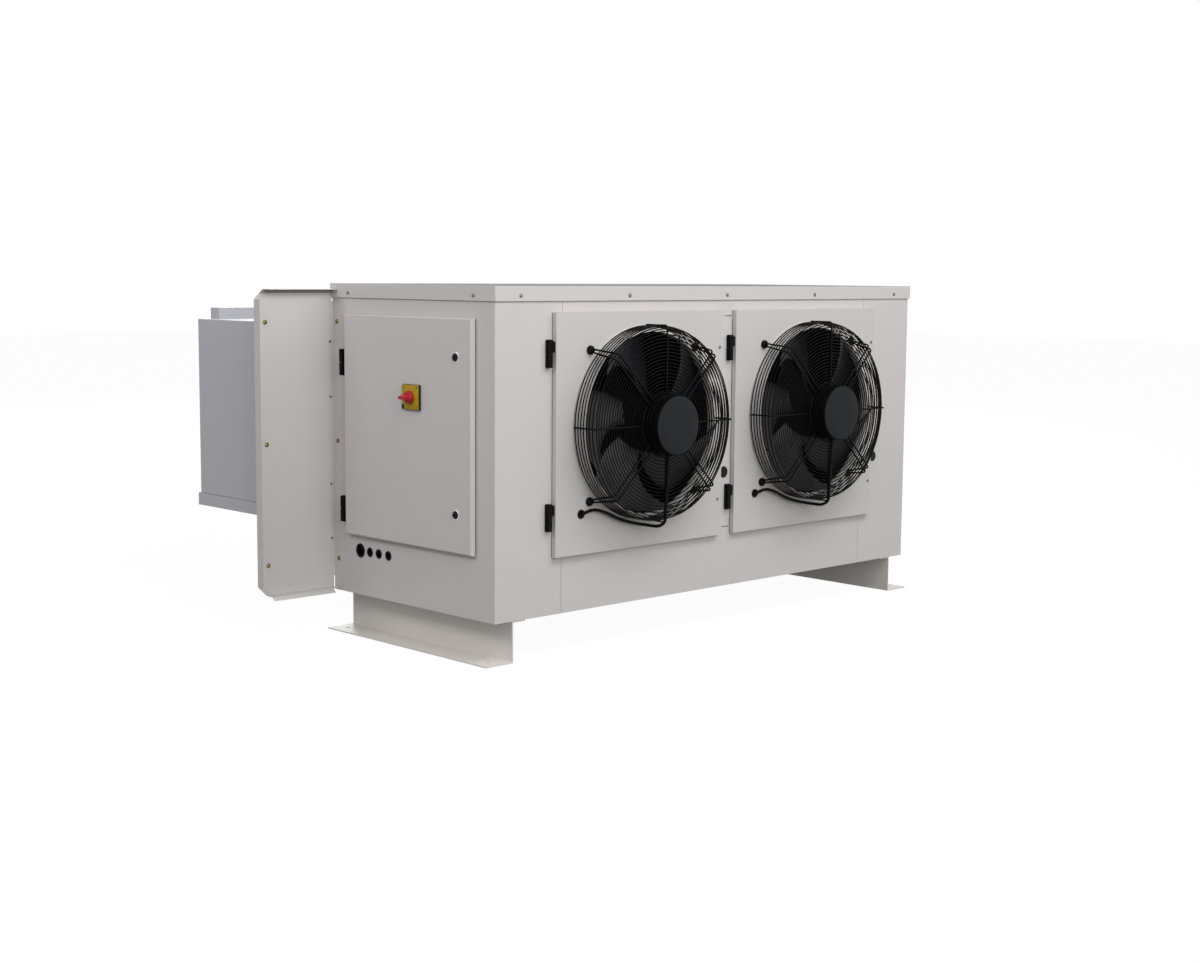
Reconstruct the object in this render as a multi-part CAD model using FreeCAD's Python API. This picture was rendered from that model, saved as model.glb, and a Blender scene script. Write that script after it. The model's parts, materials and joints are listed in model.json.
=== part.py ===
"""Monoblock refrigeration unit for a cold room wall.

The frame: X runs along the front, Y from the front to the cold room, Z up. The origin is the centre of the four
fixing holes of the feet, at floor level. Lengths are in millimetres.
"""

import FreeCAD, Part
import math
import os

V = FreeCAD.Vector

# Condensing section
BODY_WIDTH = 1560.0
BODY_DEPTH = 630.0
BODY_HEIGHT = 780.0
SHEET = 1.5
LID_OVERHANG = 4.0
LID_SKIRT = 35.0
LID_BACK_SKIRT = 13.0
CORNER_STRIP = 208.0
SEAM_GAP = 1.0
POST_LEG = 28.0
POST_SHEET = 2.0
TRAY_UPSTAND = 30.0
TRAY_SLOT_LENGTH = 130.0
TRAY_SLOT_WIDTH = 20.0
TRAY_SLOT_X = (-480.0, -300.0, 480.0)
TRAY_SLOT_Y = 270.0
AIR_SLOT_LENGTH = 115.0
AIR_SLOT_HEIGHT = 12.0
AIR_SLOT_ROWS = 11
AIR_SLOT_PITCH = 48.0
AIR_SLOT_Y = (-60.0, 85.0)
LID_SCREW_PITCH = 353.0
LID_SCREW_Y = 243.0
LID_SCREW_Z = 857.5

# Feet
FOOT_HEIGHT = 100.0
FOOT_INSET = 55.0
FOOT_FLANGE = 80.0
FOOT_SHEET = 3.0
FOOT_TOP_FLANGE = 40.0
FOOT_HOLE_FROM_END = 40.0
FOOT_HOLE_FROM_WEB = 44.0
FOOT_HOLE_R = 6.5
FOOT_SMALL_HOLE_R = 3.5
FOOT_SMALL_HOLE_FROM_END = 126.0
FOOT_END_GAP = 2.0

# Doors in general
DOOR_RAISE = 15.0
DOOR_CENTRE_Z = 529.0
DOOR_OPENING_LAP = 40.0
DOOR_GAP = 0.5
HINGE_HEIGHT = 66.0
HINGE_AXIS_OFFSET = 18.0
HINGE_BASE_REACH = 9.0
HINGE_BASE_THICK = 5.0
HINGE_LEAF_THICK = 8.0
HINGE_CAP = 3.0
HINGE_PIN_R = 2.5
HINGE_PIN_CLEARANCE = 0.1
HINGE_SPLIT_GAP = 0.5

# Fan doors
FAN_DOOR_SIZE = 580.0
FAN_PITCH = 630.0
FAN_HINGE_RISE = 193.5
FAN_RAISE = 18.0
FAN_PLUG_Z = 400.0
FAN_PLUG_R = 15.0
FAN_PLUG_THICK = 3.0
FAN_SLOT_RISE = 274.0
FAN_SLOT_LENGTH = 26.0
FAN_SLOT_HEIGHT = 2.0
FAN_SLOT_START = -3.0
DOOR_SCREW_INSET = 13.0
DOOR_SCREW_RISE = 195.5
DOOR_SCREW_R = 4.5

# Electrical door
PANEL_DOOR_DEPTH = 495.0
PANEL_DOOR_HEIGHT = 552.0
PANEL_HINGE_UP = 155.0
PANEL_HINGE_DOWN = 215.0
LOCK_RISE = 184.5
LOCK_INSET = 56.5
LOCK_BEZEL_R = 14.0
LOCK_INSERT_R = 9.5
LOCK_CLEARANCE = 0.1
LOCK_PROUD = 3.0
LOCK_CAM_LENGTH = 36.0
LOCK_CAM_HALF_WIDTH = 6.0
LOCK_CAM_THICK = 3.0
LOCK_KEY_R = 4.5
SWITCH_Y = -29.0
SWITCH_Z = 612.5
SWITCH_PLATE = 65.0
SWITCH_PLATE_HEIGHT = 61.0
SWITCH_BASE_THICK = 6.0
SWITCH_PLATE_THICK = 2.0
SWITCH_TOP = SWITCH_BASE_THICK + SWITCH_PLATE_THICK
KNOB_R = 16.0
KNOB_SKIRT = 10.0
KNOB_LENGTH = 30.0
KNOB_GRIP = 9.0
KNOB_GAP = 0.4
KNOB_STEM_R = 5.0

# Cable entries in the left side panel
ENTRY_Z = 212.5
ENTRY_LARGE_R = 16.0
ENTRY_SMALL_R = 10.0
ENTRY_LARGE_Y = 204.0
ENTRY_SMALL_Y = (164.5, 128.0, 89.0)

# Wall flange
FLANGE_HALF_WIDTH = 1012.0
FLANGE_BOTTOM = 106.0
FLANGE_TOP = 866.0
FLANGE_SHEET = 2.0
FLANGE_RETURN = 24.0
FLANGE_CHAMFER = 25.0
FLANGE_SCREW_INSET = 30.0
FLANGE_SCREW_PITCH = 301.5
FLANGE_SCREW_Z = 483.5
FLANGE_HOLE_R = 5.0
FLANGE_INNER_SCREW_GAP = 10.0
FLANGE_INNER_RISES = (-250.5, -111.0, 111.0, 250.5)
FLANGE_NOTCH = 4.0
FLANGE_NOTCH_HEIGHT = 30.0
FLANGE_SLOT_DROP = 23.0
FLANGE_SLOT_HEIGHT = 8.0
FLANGE_STRIP_HEIGHT = 8.0
FLANGE_STRIP_THICK = 2.0
FLANGE_LID_GAP = 1.0
WALL_SCREW_R = 3.5
WALL_SCREW_REACH = 30.0
PIPE_WINDOW_X = 470.0
PIPE_WINDOW_Z = 530.0
PIPE_WINDOW_WIDTH = 170.0
PIPE_WINDOW_HEIGHT = 150.0
SIDE_SCREW_INSET = 17.0

# Evaporator section
EVAP_INSET = 62.0
EVAP_TOP = 784.5
EVAP_LENGTH = 358.0
PLUG_THICK = 80.0
TRAY_TOP = 329.0
TRAY_BOTTOM = 297.0
TRAY_PROUD = 4.0
TRAY_OVERRUN = 7.0
PAN_LENGTH = 200.0
FAN_PANEL_INSET = 63.0
FAN_PANEL_DEPTH = 40.0
FAN_PANEL_RISE = 28.0
FAN_PANEL_BOTTOM = 341.0
EVAP_FAN_PITCH = 585.0
EVAP_FAN_Z = 574.0
DRAIN_R = 14.0
DRAIN_LENGTH = 45.0
DRAIN_WALL = 2.0
DRAIN_GAP = 0.3
DRAIN_COLLAR = 8.0
DRAIN_NUT_THICK = 8.0
DRAIN_RELIEF = 0.7
DRAIN_RELIEF_LENGTH = 4.0
EVAP_END_LIP = 30.0
GRILLE_SLOTS = 30
GRILLE_MARGIN = 20.0

# Coils
FIN_THICK = 3.0
FIN_PITCH = 14.0
COIL_TUBE_R = 5.0
COIL_BEND_R = 22.0
COIL_PLATE = 3.0
CONDENSER_SETBACK = 112.0
CONDENSER_DEPTH = 66.0
CONDENSER_HALF_WIDTH = 540.0
SHROUD_CLEARANCE = 5.5
SHROUD_LEG = 40.0
CONDENSER_BOTTOM = 140.0
CONDENSER_TOP = 840.0
EVAP_COIL_DEPTH = 88.0
EVAP_COIL_GAP = 45.0

# Compressor set
COMPRESSOR_X = 300.0
COMPRESSOR_FROM_WALL = 185.0
BARREL_R = 88.0
BARREL_LENGTH = 250.0
CRANKCASE_LENGTH = 170.0
CRANKCASE_HEIGHT = 235.0
CRANKCASE_DEPTH = 190.0
MOUNT_HEIGHT = 28.0
MOUNT_R = 18.0
RECEIVER_X = -260.0
RECEIVER_FROM_WALL = 125.0
RECEIVER_R = 70.0
RECEIVER_LENGTH = 380.0
RECEIVER_STAND = 30.0
LINE_R = 9.0
LINE_BEND = 25.0
LINE_RISE = 130.0
LINE_SPREAD = 80.0
DRIER_R = 26.0
DRIER_Z = 470.0
DRIER_LENGTH = 160.0
VALVE_SETBACK = 45.0
VALVE_REACH = 20.0
HEAD_LENGTH = 80.0
HEAD_HEIGHT = 34.0
HEAD_DEPTH = 124.0
HEAD_GAP = 8.0
CASE_FILLET = 22.0
CASE_FLANGE_LAP = 12.0
CASE_FLANGE_THICK = 14.0
CASE_COVER_R = 62.0
CASE_COVER_THICK = 16.0
COMPRESSOR_FOOT = 12.0
COMPRESSOR_FOOT_WIDTH = 44.0
COMPRESSOR_FOOT_DEPTH = 230.0
COMPRESSOR_FEET_X = (-55.0, 180.0)
COMPRESSOR_MOUNT_Y = 95.0
SADDLE_WIDTH = 30.0
SADDLE_DEPTH = 80.0
TERMINAL_BOX_LENGTH = 110.0
TERMINAL_BOX_HEIGHT = 60.0
TERMINAL_BOX_SINK = 14.0
RECEIVER_SADDLES_X = (-100.0, 100.0)
RECEIVER_SADDLE_WIDTH = 24.0
RECEIVER_SADDLE_DEPTH = 100.0
RECEIVER_BOSS_X = 90.0
RECEIVER_BOSS_R = 13.0
RECEIVER_BOSS_RISE = 22.0
DRIER_NECK_LENGTH = 14.0
DRIER_CONE_LENGTH = 16.0
DISCHARGE_RISE = 110.0
DISCHARGE_SETBACK = 40.0
DISCHARGE_DROP = 60.0

# Electrical compartment
BACKPLATE_GAP = 12.0
BACKPLATE_SHEET = 2.0
BACKPLATE_MARGIN_Y = 60.0
BACKPLATE_RISE = 120.0
BACKPLATE_DROP = 90.0
SPACER_INSET = 30.0
SPACER_R = 5.0
RAIL_Z = (690.0, 470.0)
RAIL_LENGTH = 400.0
RAIL_DEPTH = 7.5
RAIL_HEIGHT = 35.0
RAIL_END = 10.0
BREAKER_SIZES = ((45.0, 80.0, 78.0), (45.0, 80.0, 78.0), (36.0, 85.0, 60.0), (36.0, 85.0, 60.0),
                 (54.0, 85.0, 60.0), (72.0, 90.0, 50.0))
BREAKER_GAP = 4.0
BREAKER_BODY_SHARE = 0.6
TERMINAL_PITCH = 12.0
TERMINAL_COUNT = 16
TERMINAL_GAP = 1.0
TERMINAL_DEPTH = 42.0
TERMINAL_HEIGHT = 56.0
CONTROLLER_START = 15.0
CONTROLLER_WIDTH = 170.0
CONTROLLER_HEIGHT = 104.0
CONTROLLER_DEPTH = 36.0
CONTROLLER_COVER_DEPTH = 16.0
CONTROLLER_COVER_INSET_Y = 12.0
CONTROLLER_COVER_INSET_Z = 18.0

FLOOR = 0.0
FRONT = -BODY_DEPTH / 2
WALL = BODY_DEPTH / 2
LEFT = -BODY_WIDTH / 2
RIGHT = BODY_WIDTH / 2
BASE = FLOOR + FOOT_HEIGHT
ROOF = BASE + BODY_HEIGHT
UNDER_LID = ROOF - SHEET
BACK = WALL - FLANGE_SHEET
SEAM = BODY_WIDTH / 2 - CORNER_STRIP
EVAP_END = WALL + EVAP_LENGTH
EVAP_HALF_WIDTH = FLANGE_HALF_WIDTH - EVAP_INSET
FAN_PANEL_HALF_WIDTH = EVAP_HALF_WIDTH - FAN_PANEL_INSET
FOOT_HOLE_Y = BODY_DEPTH / 2 - FOOT_HOLE_FROM_END
FOOT_SMALL_HOLE_Y = BODY_DEPTH / 2 - FOOT_SMALL_HOLE_FROM_END
COMPRESSOR_Y = WALL - COMPRESSOR_FROM_WALL
RECEIVER_Y = WALL - RECEIVER_FROM_WALL
FAN_X = (-FAN_PITCH / 2, FAN_PITCH / 2)
FAN_Z = DOOR_CENTRE_Z + FAN_RAISE
EVAP_FAN_X = (-EVAP_FAN_PITCH, 0.0, EVAP_FAN_PITCH)


class FanSize:
    """Sizes of one axial fan, measured along its own axis from the outer face of the plate that carries it."""

    def __init__(self, throat, clearance, motor, stand, depth, proud, foot_circle, blade_reach, hub_back, blades):
        self.throat_r = throat / 2
        self.tip_r = self.throat_r - clearance
        self.motor_r = motor / 2
        self.guard_r = self.throat_r + 14.0
        self.guard_stand = stand
        self.guard_front = stand + depth
        self.motor_front = self.guard_front + proud
        self.foot_r = foot_circle / 2
        self.blade_reach = blade_reach
        self.hub_back = hub_back
        self.blades = blades
        self.wire = 5.0
        self.arm_gap = 16.0
        self.foot_size = 11.0
        self.collar = 31.0
        self.flare = 18.0
        self.shaft_r = 8.0
        self.shaft_end = -10.0
        self.bore_r = self.shaft_r + 0.05
        self.hub_top = stand + 28.0
        self.stator_back = self.hub_top + 2.0
        self.seat_clearance = 0.3


CONDENSER_FAN = FanSize(446.0, 5.0, 146.0, 9.0, 67.0, 46.0, 514.0, 50.0, 46.0, 5)
EVAP_FAN = FanSize(350.0, 5.0, 110.0, 7.0, 48.0, 20.0, 408.0, 24.0, 36.0, 5)
BLADE_PHASE = 29.0


def box(x0, y0, z0, x1, y1, z1):
    """Block between two opposite corners, in any order."""
    low = V(min(x0, x1), min(y0, y1), min(z0, z1))
    return Part.makeBox(abs(x1 - x0), abs(y1 - y0), abs(z1 - z0), low)


def rod(start, end, radius):
    """Round bar between two points."""
    axis = end - start
    return Part.makeCylinder(radius, axis.Length, start, axis)


def bar(start, end, width):
    """Square bar between two points, with its ends square to it."""
    axis = end - start
    solid = box(-width / 2, -width / 2, 0, width / 2, width / 2, axis.Length)
    solid.Placement = FreeCAD.Placement(start, FreeCAD.Rotation(V(0, 0, 1), axis))
    return solid


def prism(points, thickness):
    """Flat outline of points, pushed along a vector."""
    return Part.Face(Part.makePolygon(points + points[:1])).extrude(thickness)


def lathe(profile, base=None, axis=None):
    """Solid of revolution from a closed profile of (radius, height) pairs about the Z axis."""
    outline = [V(r, 0, h) for r, h in profile]
    solid = Part.Face(Part.makePolygon(outline + outline[:1])).revolve(V(0, 0, 0), V(0, 0, 1), 360)
    if base is not None:
        solid.Placement = FreeCAD.Placement(base, FreeCAD.Rotation(V(0, 0, 1), axis))
    return solid


def ring(radius, height, width):
    """Square-section wire ring about the Z axis, set on its edge like a round wire."""
    half = width * 0.6
    return lathe([(radius - half, height), (radius, height - half), (radius + half, height), (radius, height + half)])


def join(pieces):
    """One solid from pieces that touch or overlap."""
    first, *rest = pieces
    return first.multiFuse(rest).removeSplitter() if rest else first


def group(pieces):
    """Separate solids that share one node."""
    return Part.makeCompound([solid for piece in pieces for solid in piece.Solids])


def mirrored(shape):
    """The same shape on the other side of the centre plane."""
    return shape.mirror(V(0, 0, 0), V(1, 0, 0))


def tube(points, radius, bends):
    """Round tube along straight runs joined by tangent arcs, with one bend radius per inner point."""
    edges = []
    start = points[0]
    for before, corner, after, bend in zip(points, points[1:], points[2:], bends):
        inward = (before - corner).normalize()
        outward = (after - corner).normalize()
        half = inward.getAngle(outward) / 2
        reach = bend / math.tan(half)
        first = corner + inward * reach
        last = corner + outward * reach
        middle_line = (inward + outward).normalize()
        middle = corner + middle_line * (bend / math.sin(half) - bend)
        edges.append(Part.makeLine(start, first))
        edges.append(Part.Arc(first, middle, last).toShape())
        start = last
    edges.append(Part.makeLine(start, points[-1]))
    path = Part.Wire(edges)
    profile = Part.Wire([Part.makeCircle(radius, points[0], points[1] - points[0])])
    return path.makePipeShell([profile], True, False)


def soft_bends(points):
    """The largest bend at each inner point: 0.45 of the shorter run over the tangent of half the turn."""
    bends = []
    for before, corner, after in zip(points, points[1:], points[2:]):
        run = min((corner - before).Length, (after - corner).Length)
        turn = (corner - before).getAngle(after - corner)
        bends.append(0.45 * run / math.tan(turn / 2))
    return bends


def placed(shape, where, turn):
    """A copy of a shape, turned about its own origin and moved to its place."""
    copy = shape.copy()
    copy.Placement = FreeCAD.Placement(where, turn).multiply(shape.Placement)
    return copy


def facing_front(shape, x, y, z):
    """A shape drawn about its own axis Z, turned to face the front and moved to its place."""
    return placed(shape, V(x, y, z), FreeCAD.Rotation(V(1, 0, 0), 90))


def facing_room(shape, x, y, z):
    """A shape drawn about its own axis Z, turned to face the cold room and moved to its place."""
    turn = FreeCAD.Rotation(V(0, 0, 1), 180).multiply(FreeCAD.Rotation(V(1, 0, 0), 90))
    return placed(shape, V(x, y, z), turn)


def facing_left(shape, x, y, z):
    """A shape drawn about its own axis Z, turned to face left with its own Y up."""
    turn = FreeCAD.Rotation(V(0, 0, 1), -90).multiply(FreeCAD.Rotation(V(1, 0, 0), 90))
    return placed(shape, V(x, y, z), turn)


def screw_head(radius):
    """Low domed screw head that lies on the plane it closes."""
    return lathe([(0, 0), (radius, 0), (radius, radius * 0.25), (radius * 0.6, radius * 0.55), (0, radius * 0.6)])


def base_tray():
    """Folded base with an upstand all round and air slots behind the condenser."""
    x0, x1 = LEFT + SHEET, RIGHT - SHEET
    y0, y1 = FRONT + SHEET, BACK
    outer = box(x0, y0, BASE, x1, y1, BASE + TRAY_UPSTAND)
    inner = box(x0 + SHEET, y0 + SHEET, BASE + SHEET, x1 - SHEET, y1 - SHEET, BASE + TRAY_UPSTAND)
    slots = [box(x, TRAY_SLOT_Y, BASE, x + TRAY_SLOT_LENGTH, TRAY_SLOT_Y + TRAY_SLOT_WIDTH, BASE + SHEET)
             for x in TRAY_SLOT_X]
    return outer.cut(inner).cut(group(slots))


def foot(side):
    """Folded foot: web under the body, fixing flange outwards and a short top flange inwards."""
    web_x = RIGHT - FOOT_INSET
    y0, y1 = FRONT + FOOT_END_GAP, BACK
    web = box(web_x - FOOT_SHEET, y0, FLOOR, web_x, y1, BASE)
    flange = box(web_x - FOOT_SHEET, y0, FLOOR, web_x + FOOT_FLANGE, y1, FLOOR + FOOT_SHEET)
    top = box(web_x - FOOT_TOP_FLANGE, y0, BASE - FOOT_SHEET, web_x, y1, BASE)
    hole_x = web_x + FOOT_HOLE_FROM_WEB
    holes = [
        rod(V(hole_x, y, FLOOR), V(hole_x, y, FLOOR + FOOT_SHEET), FOOT_HOLE_R)
        for y in (-FOOT_HOLE_Y, FOOT_HOLE_Y)
    ]
    small = rod(V(hole_x, FOOT_SMALL_HOLE_Y, FLOOR), V(hole_x, FOOT_SMALL_HOLE_Y, FLOOR + FOOT_SHEET),
                FOOT_SMALL_HOLE_R)
    shape = join([web, flange, top]).cut(group(holes + [small]))
    return shape if side > 0 else mirrored(shape)


def angle_post(x, y, to_x, to_y):
    """Corner post of folded angle, its corner at x, y and its legs running along the two directions."""
    low, high = BASE + SHEET, UNDER_LID
    leg_x = box(x, y, low, x + to_x * POST_LEG, y + to_y * POST_SHEET, high)
    leg_y = box(x, y, low, x + to_x * POST_SHEET, y + to_y * POST_LEG, high)
    return join([leg_x, leg_y])


def frame_posts():
    """Four corner posts and the two flat posts behind the front seams."""
    inset = 2 * SHEET
    pieces = []
    for side in (-1, 1):
        corner_x = side * (RIGHT - inset)
        pieces.append(angle_post(corner_x, FRONT + inset, -side, 1))
        pieces.append(angle_post(corner_x, BACK - inset, -side, -1))
        seam_x = side * SEAM
        pieces.append(box(seam_x - POST_LEG / 2, FRONT + inset, BASE + SHEET,
                          seam_x + POST_LEG / 2, FRONT + inset + POST_SHEET, UNDER_LID))
    return group(pieces)


def side_panel():
    """Right side panel, folded round the front corner as a strip up to the seam."""
    side = box(RIGHT - SHEET, FRONT, BASE, RIGHT, BACK, UNDER_LID)
    strip = box(SEAM + SEAM_GAP, FRONT, BASE, RIGHT, FRONT + SHEET, UNDER_LID)
    return join([side, strip])


def side_panel_right():
    """Right side panel with rows of air slots behind the condenser."""
    slots = []
    for column in AIR_SLOT_Y:
        for row in range(AIR_SLOT_ROWS):
            z = DOOR_CENTRE_Z + (row - (AIR_SLOT_ROWS - 1) / 2) * AIR_SLOT_PITCH
            slots.append(box(RIGHT - SHEET, column, z, RIGHT, column + AIR_SLOT_LENGTH, z + AIR_SLOT_HEIGHT))
    return side_panel().cut(group(slots))


def side_panel_left():
    """Left side panel with the opening of the electrical compartment and the cable entry holes."""
    half_depth = PANEL_DOOR_DEPTH / 2 - DOOR_OPENING_LAP
    half_height = PANEL_DOOR_HEIGHT / 2 - DOOR_OPENING_LAP
    cuts = [box(LEFT, -half_depth, DOOR_CENTRE_Z - half_height,
                LEFT + SHEET, half_depth, DOOR_CENTRE_Z + half_height)]
    entries = [(ENTRY_LARGE_Y, ENTRY_LARGE_R)] + [(y, ENTRY_SMALL_R) for y in ENTRY_SMALL_Y]
    for y, radius in entries:
        cuts.append(rod(V(LEFT, y, ENTRY_Z), V(LEFT + SHEET, y, ENTRY_Z), radius))
    return mirrored(side_panel()).cut(group(cuts))


def front_panel():
    """Centre front panel with one opening behind each fan door and two narrow slots between the doors."""
    half = FAN_DOOR_SIZE / 2 - DOOR_OPENING_LAP
    plate = box(-SEAM, FRONT, BASE, SEAM, FRONT + SHEET, UNDER_LID)
    slot_start = FAN_X[0] + FAN_PITCH / 2 + FAN_SLOT_START
    cuts = []
    for rise in (-FAN_SLOT_RISE, FAN_SLOT_RISE):
        cuts.append(box(slot_start, FRONT, DOOR_CENTRE_Z + rise, slot_start + FAN_SLOT_LENGTH, FRONT + SHEET,
                        DOOR_CENTRE_Z + rise + FAN_SLOT_HEIGHT))
    for x in FAN_X:
        cuts.append(box(x - half, FRONT, DOOR_CENTRE_Z - half, x + half, FRONT + SHEET, DOOR_CENTRE_Z + half))
    return plate.cut(group(cuts))


def closing_plugs():
    """Round rubber plugs on the front beside the closing edge of each fan door."""
    plug = lathe([(0, 0), (FAN_PLUG_R, 0), (FAN_PLUG_R, FAN_PLUG_THICK * 0.6), (FAN_PLUG_R - 1.5, FAN_PLUG_THICK),
                  (0, FAN_PLUG_THICK)])
    return group([facing_front(plug, x + FAN_PITCH / 2, FRONT, FAN_PLUG_Z) for x in FAN_X])


def roof_lid():
    """Folded lid whose skirt hangs round the body; at the back the skirt is short, over the wall flange."""
    x = RIGHT + LID_OVERHANG
    y0, y1 = FRONT - LID_OVERHANG, WALL + LID_OVERHANG
    shell = box(-x, y0, ROOF - LID_SKIRT, x, y1, ROOF)
    shell = shell.cut(box(-x + SHEET, y0 + SHEET, ROOF - LID_SKIRT, x - SHEET, y1 - SHEET, UNDER_LID))
    return shell.cut(box(-x, BACK - SHEET, ROOF - LID_SKIRT, x, y1, ROOF - LID_BACK_SKIRT))


def casing_screws():
    """Domed screws in the lid's skirt."""
    head = screw_head(5.0)
    y = FRONT - LID_OVERHANG
    x = LEFT - LID_OVERHANG
    pieces = [facing_front(head, LID_SCREW_PITCH * n, y, LID_SCREW_Z) for n in range(-2, 3)]
    for row in (-LID_SCREW_Y, LID_SCREW_Y):
        screw = facing_left(head, x, row, LID_SCREW_Z)
        pieces += [screw, mirrored(screw)]
    return group(pieces)


def flange_outline(x, low, high, chamfer, y):
    """Corner points of the flange: a rectangle with its four corners cut off."""
    corners = [(-x + chamfer, low), (x - chamfer, low), (x, low + chamfer), (x, high - chamfer),
               (x - chamfer, high), (-x + chamfer, high), (-x, high - chamfer), (-x, low + chamfer)]
    return [V(px, y, pz) for px, pz in corners]


def wall_flange():
    """Wide flange against the cold room wall, with returns to the front and angles that hold the body."""
    outline = flange_outline(FLANGE_HALF_WIDTH, FLANGE_BOTTOM, FLANGE_TOP, FLANGE_CHAMFER, BACK)
    plate = prism(outline, V(0, FLANGE_SHEET, 0))
    y0 = BACK - FLANGE_RETURN
    x = FLANGE_HALF_WIDTH
    long_run = x - FLANGE_CHAMFER
    pieces = [plate,
              box(-long_run, y0, FLANGE_BOTTOM, long_run, BACK, FLANGE_BOTTOM + FLANGE_SHEET)]
    inner = RIGHT + LID_OVERHANG + FLANGE_LID_GAP
    for side in (-1, 1):
        pieces.append(box(side * (x - FLANGE_SHEET), y0, FLANGE_BOTTOM + FLANGE_CHAMFER,
                          side * x, BACK, FLANGE_TOP - FLANGE_CHAMFER))
        pieces.append(box(side * inner, y0, FLANGE_TOP - FLANGE_SHEET, side * long_run, BACK, FLANGE_TOP))
        pieces.append(box(side * (RIGHT - 2 * SHEET), y0, BASE + TRAY_UPSTAND, side * (RIGHT - SHEET), BACK,
                          FLANGE_TOP))
    shape = join(pieces)
    cuts = [box(-RIGHT, y0, FLANGE_BOTTOM, RIGHT, BACK, FLANGE_BOTTOM + FLANGE_SHEET)]
    for side in (-1, 1):
        notch = side * (RIGHT + FLANGE_NOTCH)
        cuts.append(box(side * RIGHT, y0, FLANGE_BOTTOM, notch, WALL, FLANGE_BOTTOM + FLANGE_NOTCH_HEIGHT))
        slot_top = FLANGE_TOP - FLANGE_SLOT_DROP
        cuts.append(box(side * RIGHT, BACK, slot_top - FLANGE_SLOT_HEIGHT, notch, WALL, slot_top))
        for n in (-1, 0, 1):
            centre = V(side * (x - FLANGE_SCREW_INSET), BACK, FLANGE_SCREW_Z + n * FLANGE_SCREW_PITCH)
            cuts.append(rod(centre, centre + V(0, FLANGE_SHEET, 0), FLANGE_HOLE_R))
    half_width, half_height = PIPE_WINDOW_WIDTH / 2, PIPE_WINDOW_HEIGHT / 2
    cuts.append(box(PIPE_WINDOW_X - half_width, BACK, PIPE_WINDOW_Z - half_height,
                    PIPE_WINDOW_X + half_width, WALL, PIPE_WINDOW_Z + half_height))
    return shape.cut(group(cuts))


def flange_edge_strip():
    """Sealing strip along the flange's top edge, from the lid to the cut corner, which it follows."""
    inner = RIGHT + LID_OVERHANG + FLANGE_LID_GAP
    high = FLANGE_TOP - FLANGE_SHEET
    low = high - FLANGE_STRIP_HEIGHT
    corner = FLANGE_HALF_WIDTH - FLANGE_CHAMFER + FLANGE_TOP
    outline = [V(x, BACK, z) for x, z in ((inner, low), (corner - low, low), (corner - high, high), (inner, high))]
    strip = prism(outline, V(0, -FLANGE_STRIP_THICK, 0))
    return group([strip, mirrored(strip)])


def flange_screws():
    """Zinc screws: side screws that hold the body, small ones into the wall plug, long ones into the wall."""
    pieces = []
    head = screw_head(6.0)
    small = screw_head(WALL_SCREW_R)
    tip = -FLANGE_SHEET - WALL_SCREW_REACH
    shank = lathe([(0, tip - WALL_SCREW_R), (WALL_SCREW_R, tip), (WALL_SCREW_R, 0), (0, 0)])
    wall_screw = join([head, shank])
    for n in (-1, 0, 1):
        z = FLANGE_SCREW_Z + n * FLANGE_SCREW_PITCH
        side_screw = facing_left(head, LEFT, BACK - SIDE_SCREW_INSET, z)
        long_screw = facing_front(wall_screw, -FLANGE_HALF_WIDTH + FLANGE_SCREW_INSET, BACK, z)
        pieces += [side_screw, mirrored(side_screw), long_screw, mirrored(long_screw)]
    for rise in FLANGE_INNER_RISES:
        screw = facing_front(small, LEFT - FLANGE_INNER_SCREW_GAP, BACK, FLANGE_SCREW_Z + rise)
        pieces += [screw, mirrored(screw)]
    return group(pieces)


def tray_door(width, height):
    """Folded door seen from outside: outer face at height 0, side returns down to just above the casing."""
    x, y = width / 2, height / 2
    low = DOOR_GAP - DOOR_RAISE
    shell = box(-x, -y, low, x, y, 0)
    return shell.cut(box(-x + SHEET, -y + SHEET, low, x - SHEET, y - SHEET, -SHEET))


def hinge_axis(width):
    """Place of the hinge axis in the door's own frame: across and above the door's outer face."""
    return -width / 2 - HINGE_AXIS_OFFSET, -DOOR_RAISE / 2


def hinge_base(width, rise):
    """Fixed lower half of a lift-off hinge, with its leaf on the casing and the pin standing up."""
    x, z = hinge_axis(width)
    bottom, top = rise - HINGE_HEIGHT / 2, rise - HINGE_SPLIT_GAP / 2
    radius = DOOR_RAISE / 2 - DOOR_GAP
    knuckle = rod(V(x, bottom, z), V(x, top, z), radius)
    leaf = box(x - HINGE_BASE_REACH, bottom, -DOOR_RAISE, x + HINGE_BASE_REACH, top,
               -DOOR_RAISE + HINGE_BASE_THICK)
    web = box(x - radius, bottom, -DOOR_RAISE, x + radius, top, z)
    pin = rod(V(x, bottom, z), V(x, rise + HINGE_HEIGHT / 2 - 2 * HINGE_CAP, z), HINGE_PIN_R)
    return join([knuckle, leaf, web, pin])


def hinge_leaf(width, rise):
    """Upper half of a lift-off hinge, fixed to the side of the door and bored for the pin."""
    x, z = hinge_axis(width)
    bottom, top = rise + HINGE_SPLIT_GAP / 2, rise + HINGE_HEIGHT / 2
    knuckle = rod(V(x, bottom, z), V(x, top, z), DOOR_RAISE / 2 - DOOR_GAP)
    leaf = box(x, bottom, z - HINGE_LEAF_THICK / 2, -width / 2, top, z + HINGE_LEAF_THICK / 2)
    bore = rod(V(x, bottom, z), V(x, top - HINGE_CAP, z), HINGE_PIN_R + HINGE_PIN_CLEARANCE)
    return join([knuckle, leaf]).cut(bore)


def on_fan_door(shape, index):
    """Places a shape drawn in a fan door's own frame."""
    return facing_front(shape, FAN_X[index], FRONT - DOOR_RAISE, DOOR_CENTRE_Z)


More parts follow.
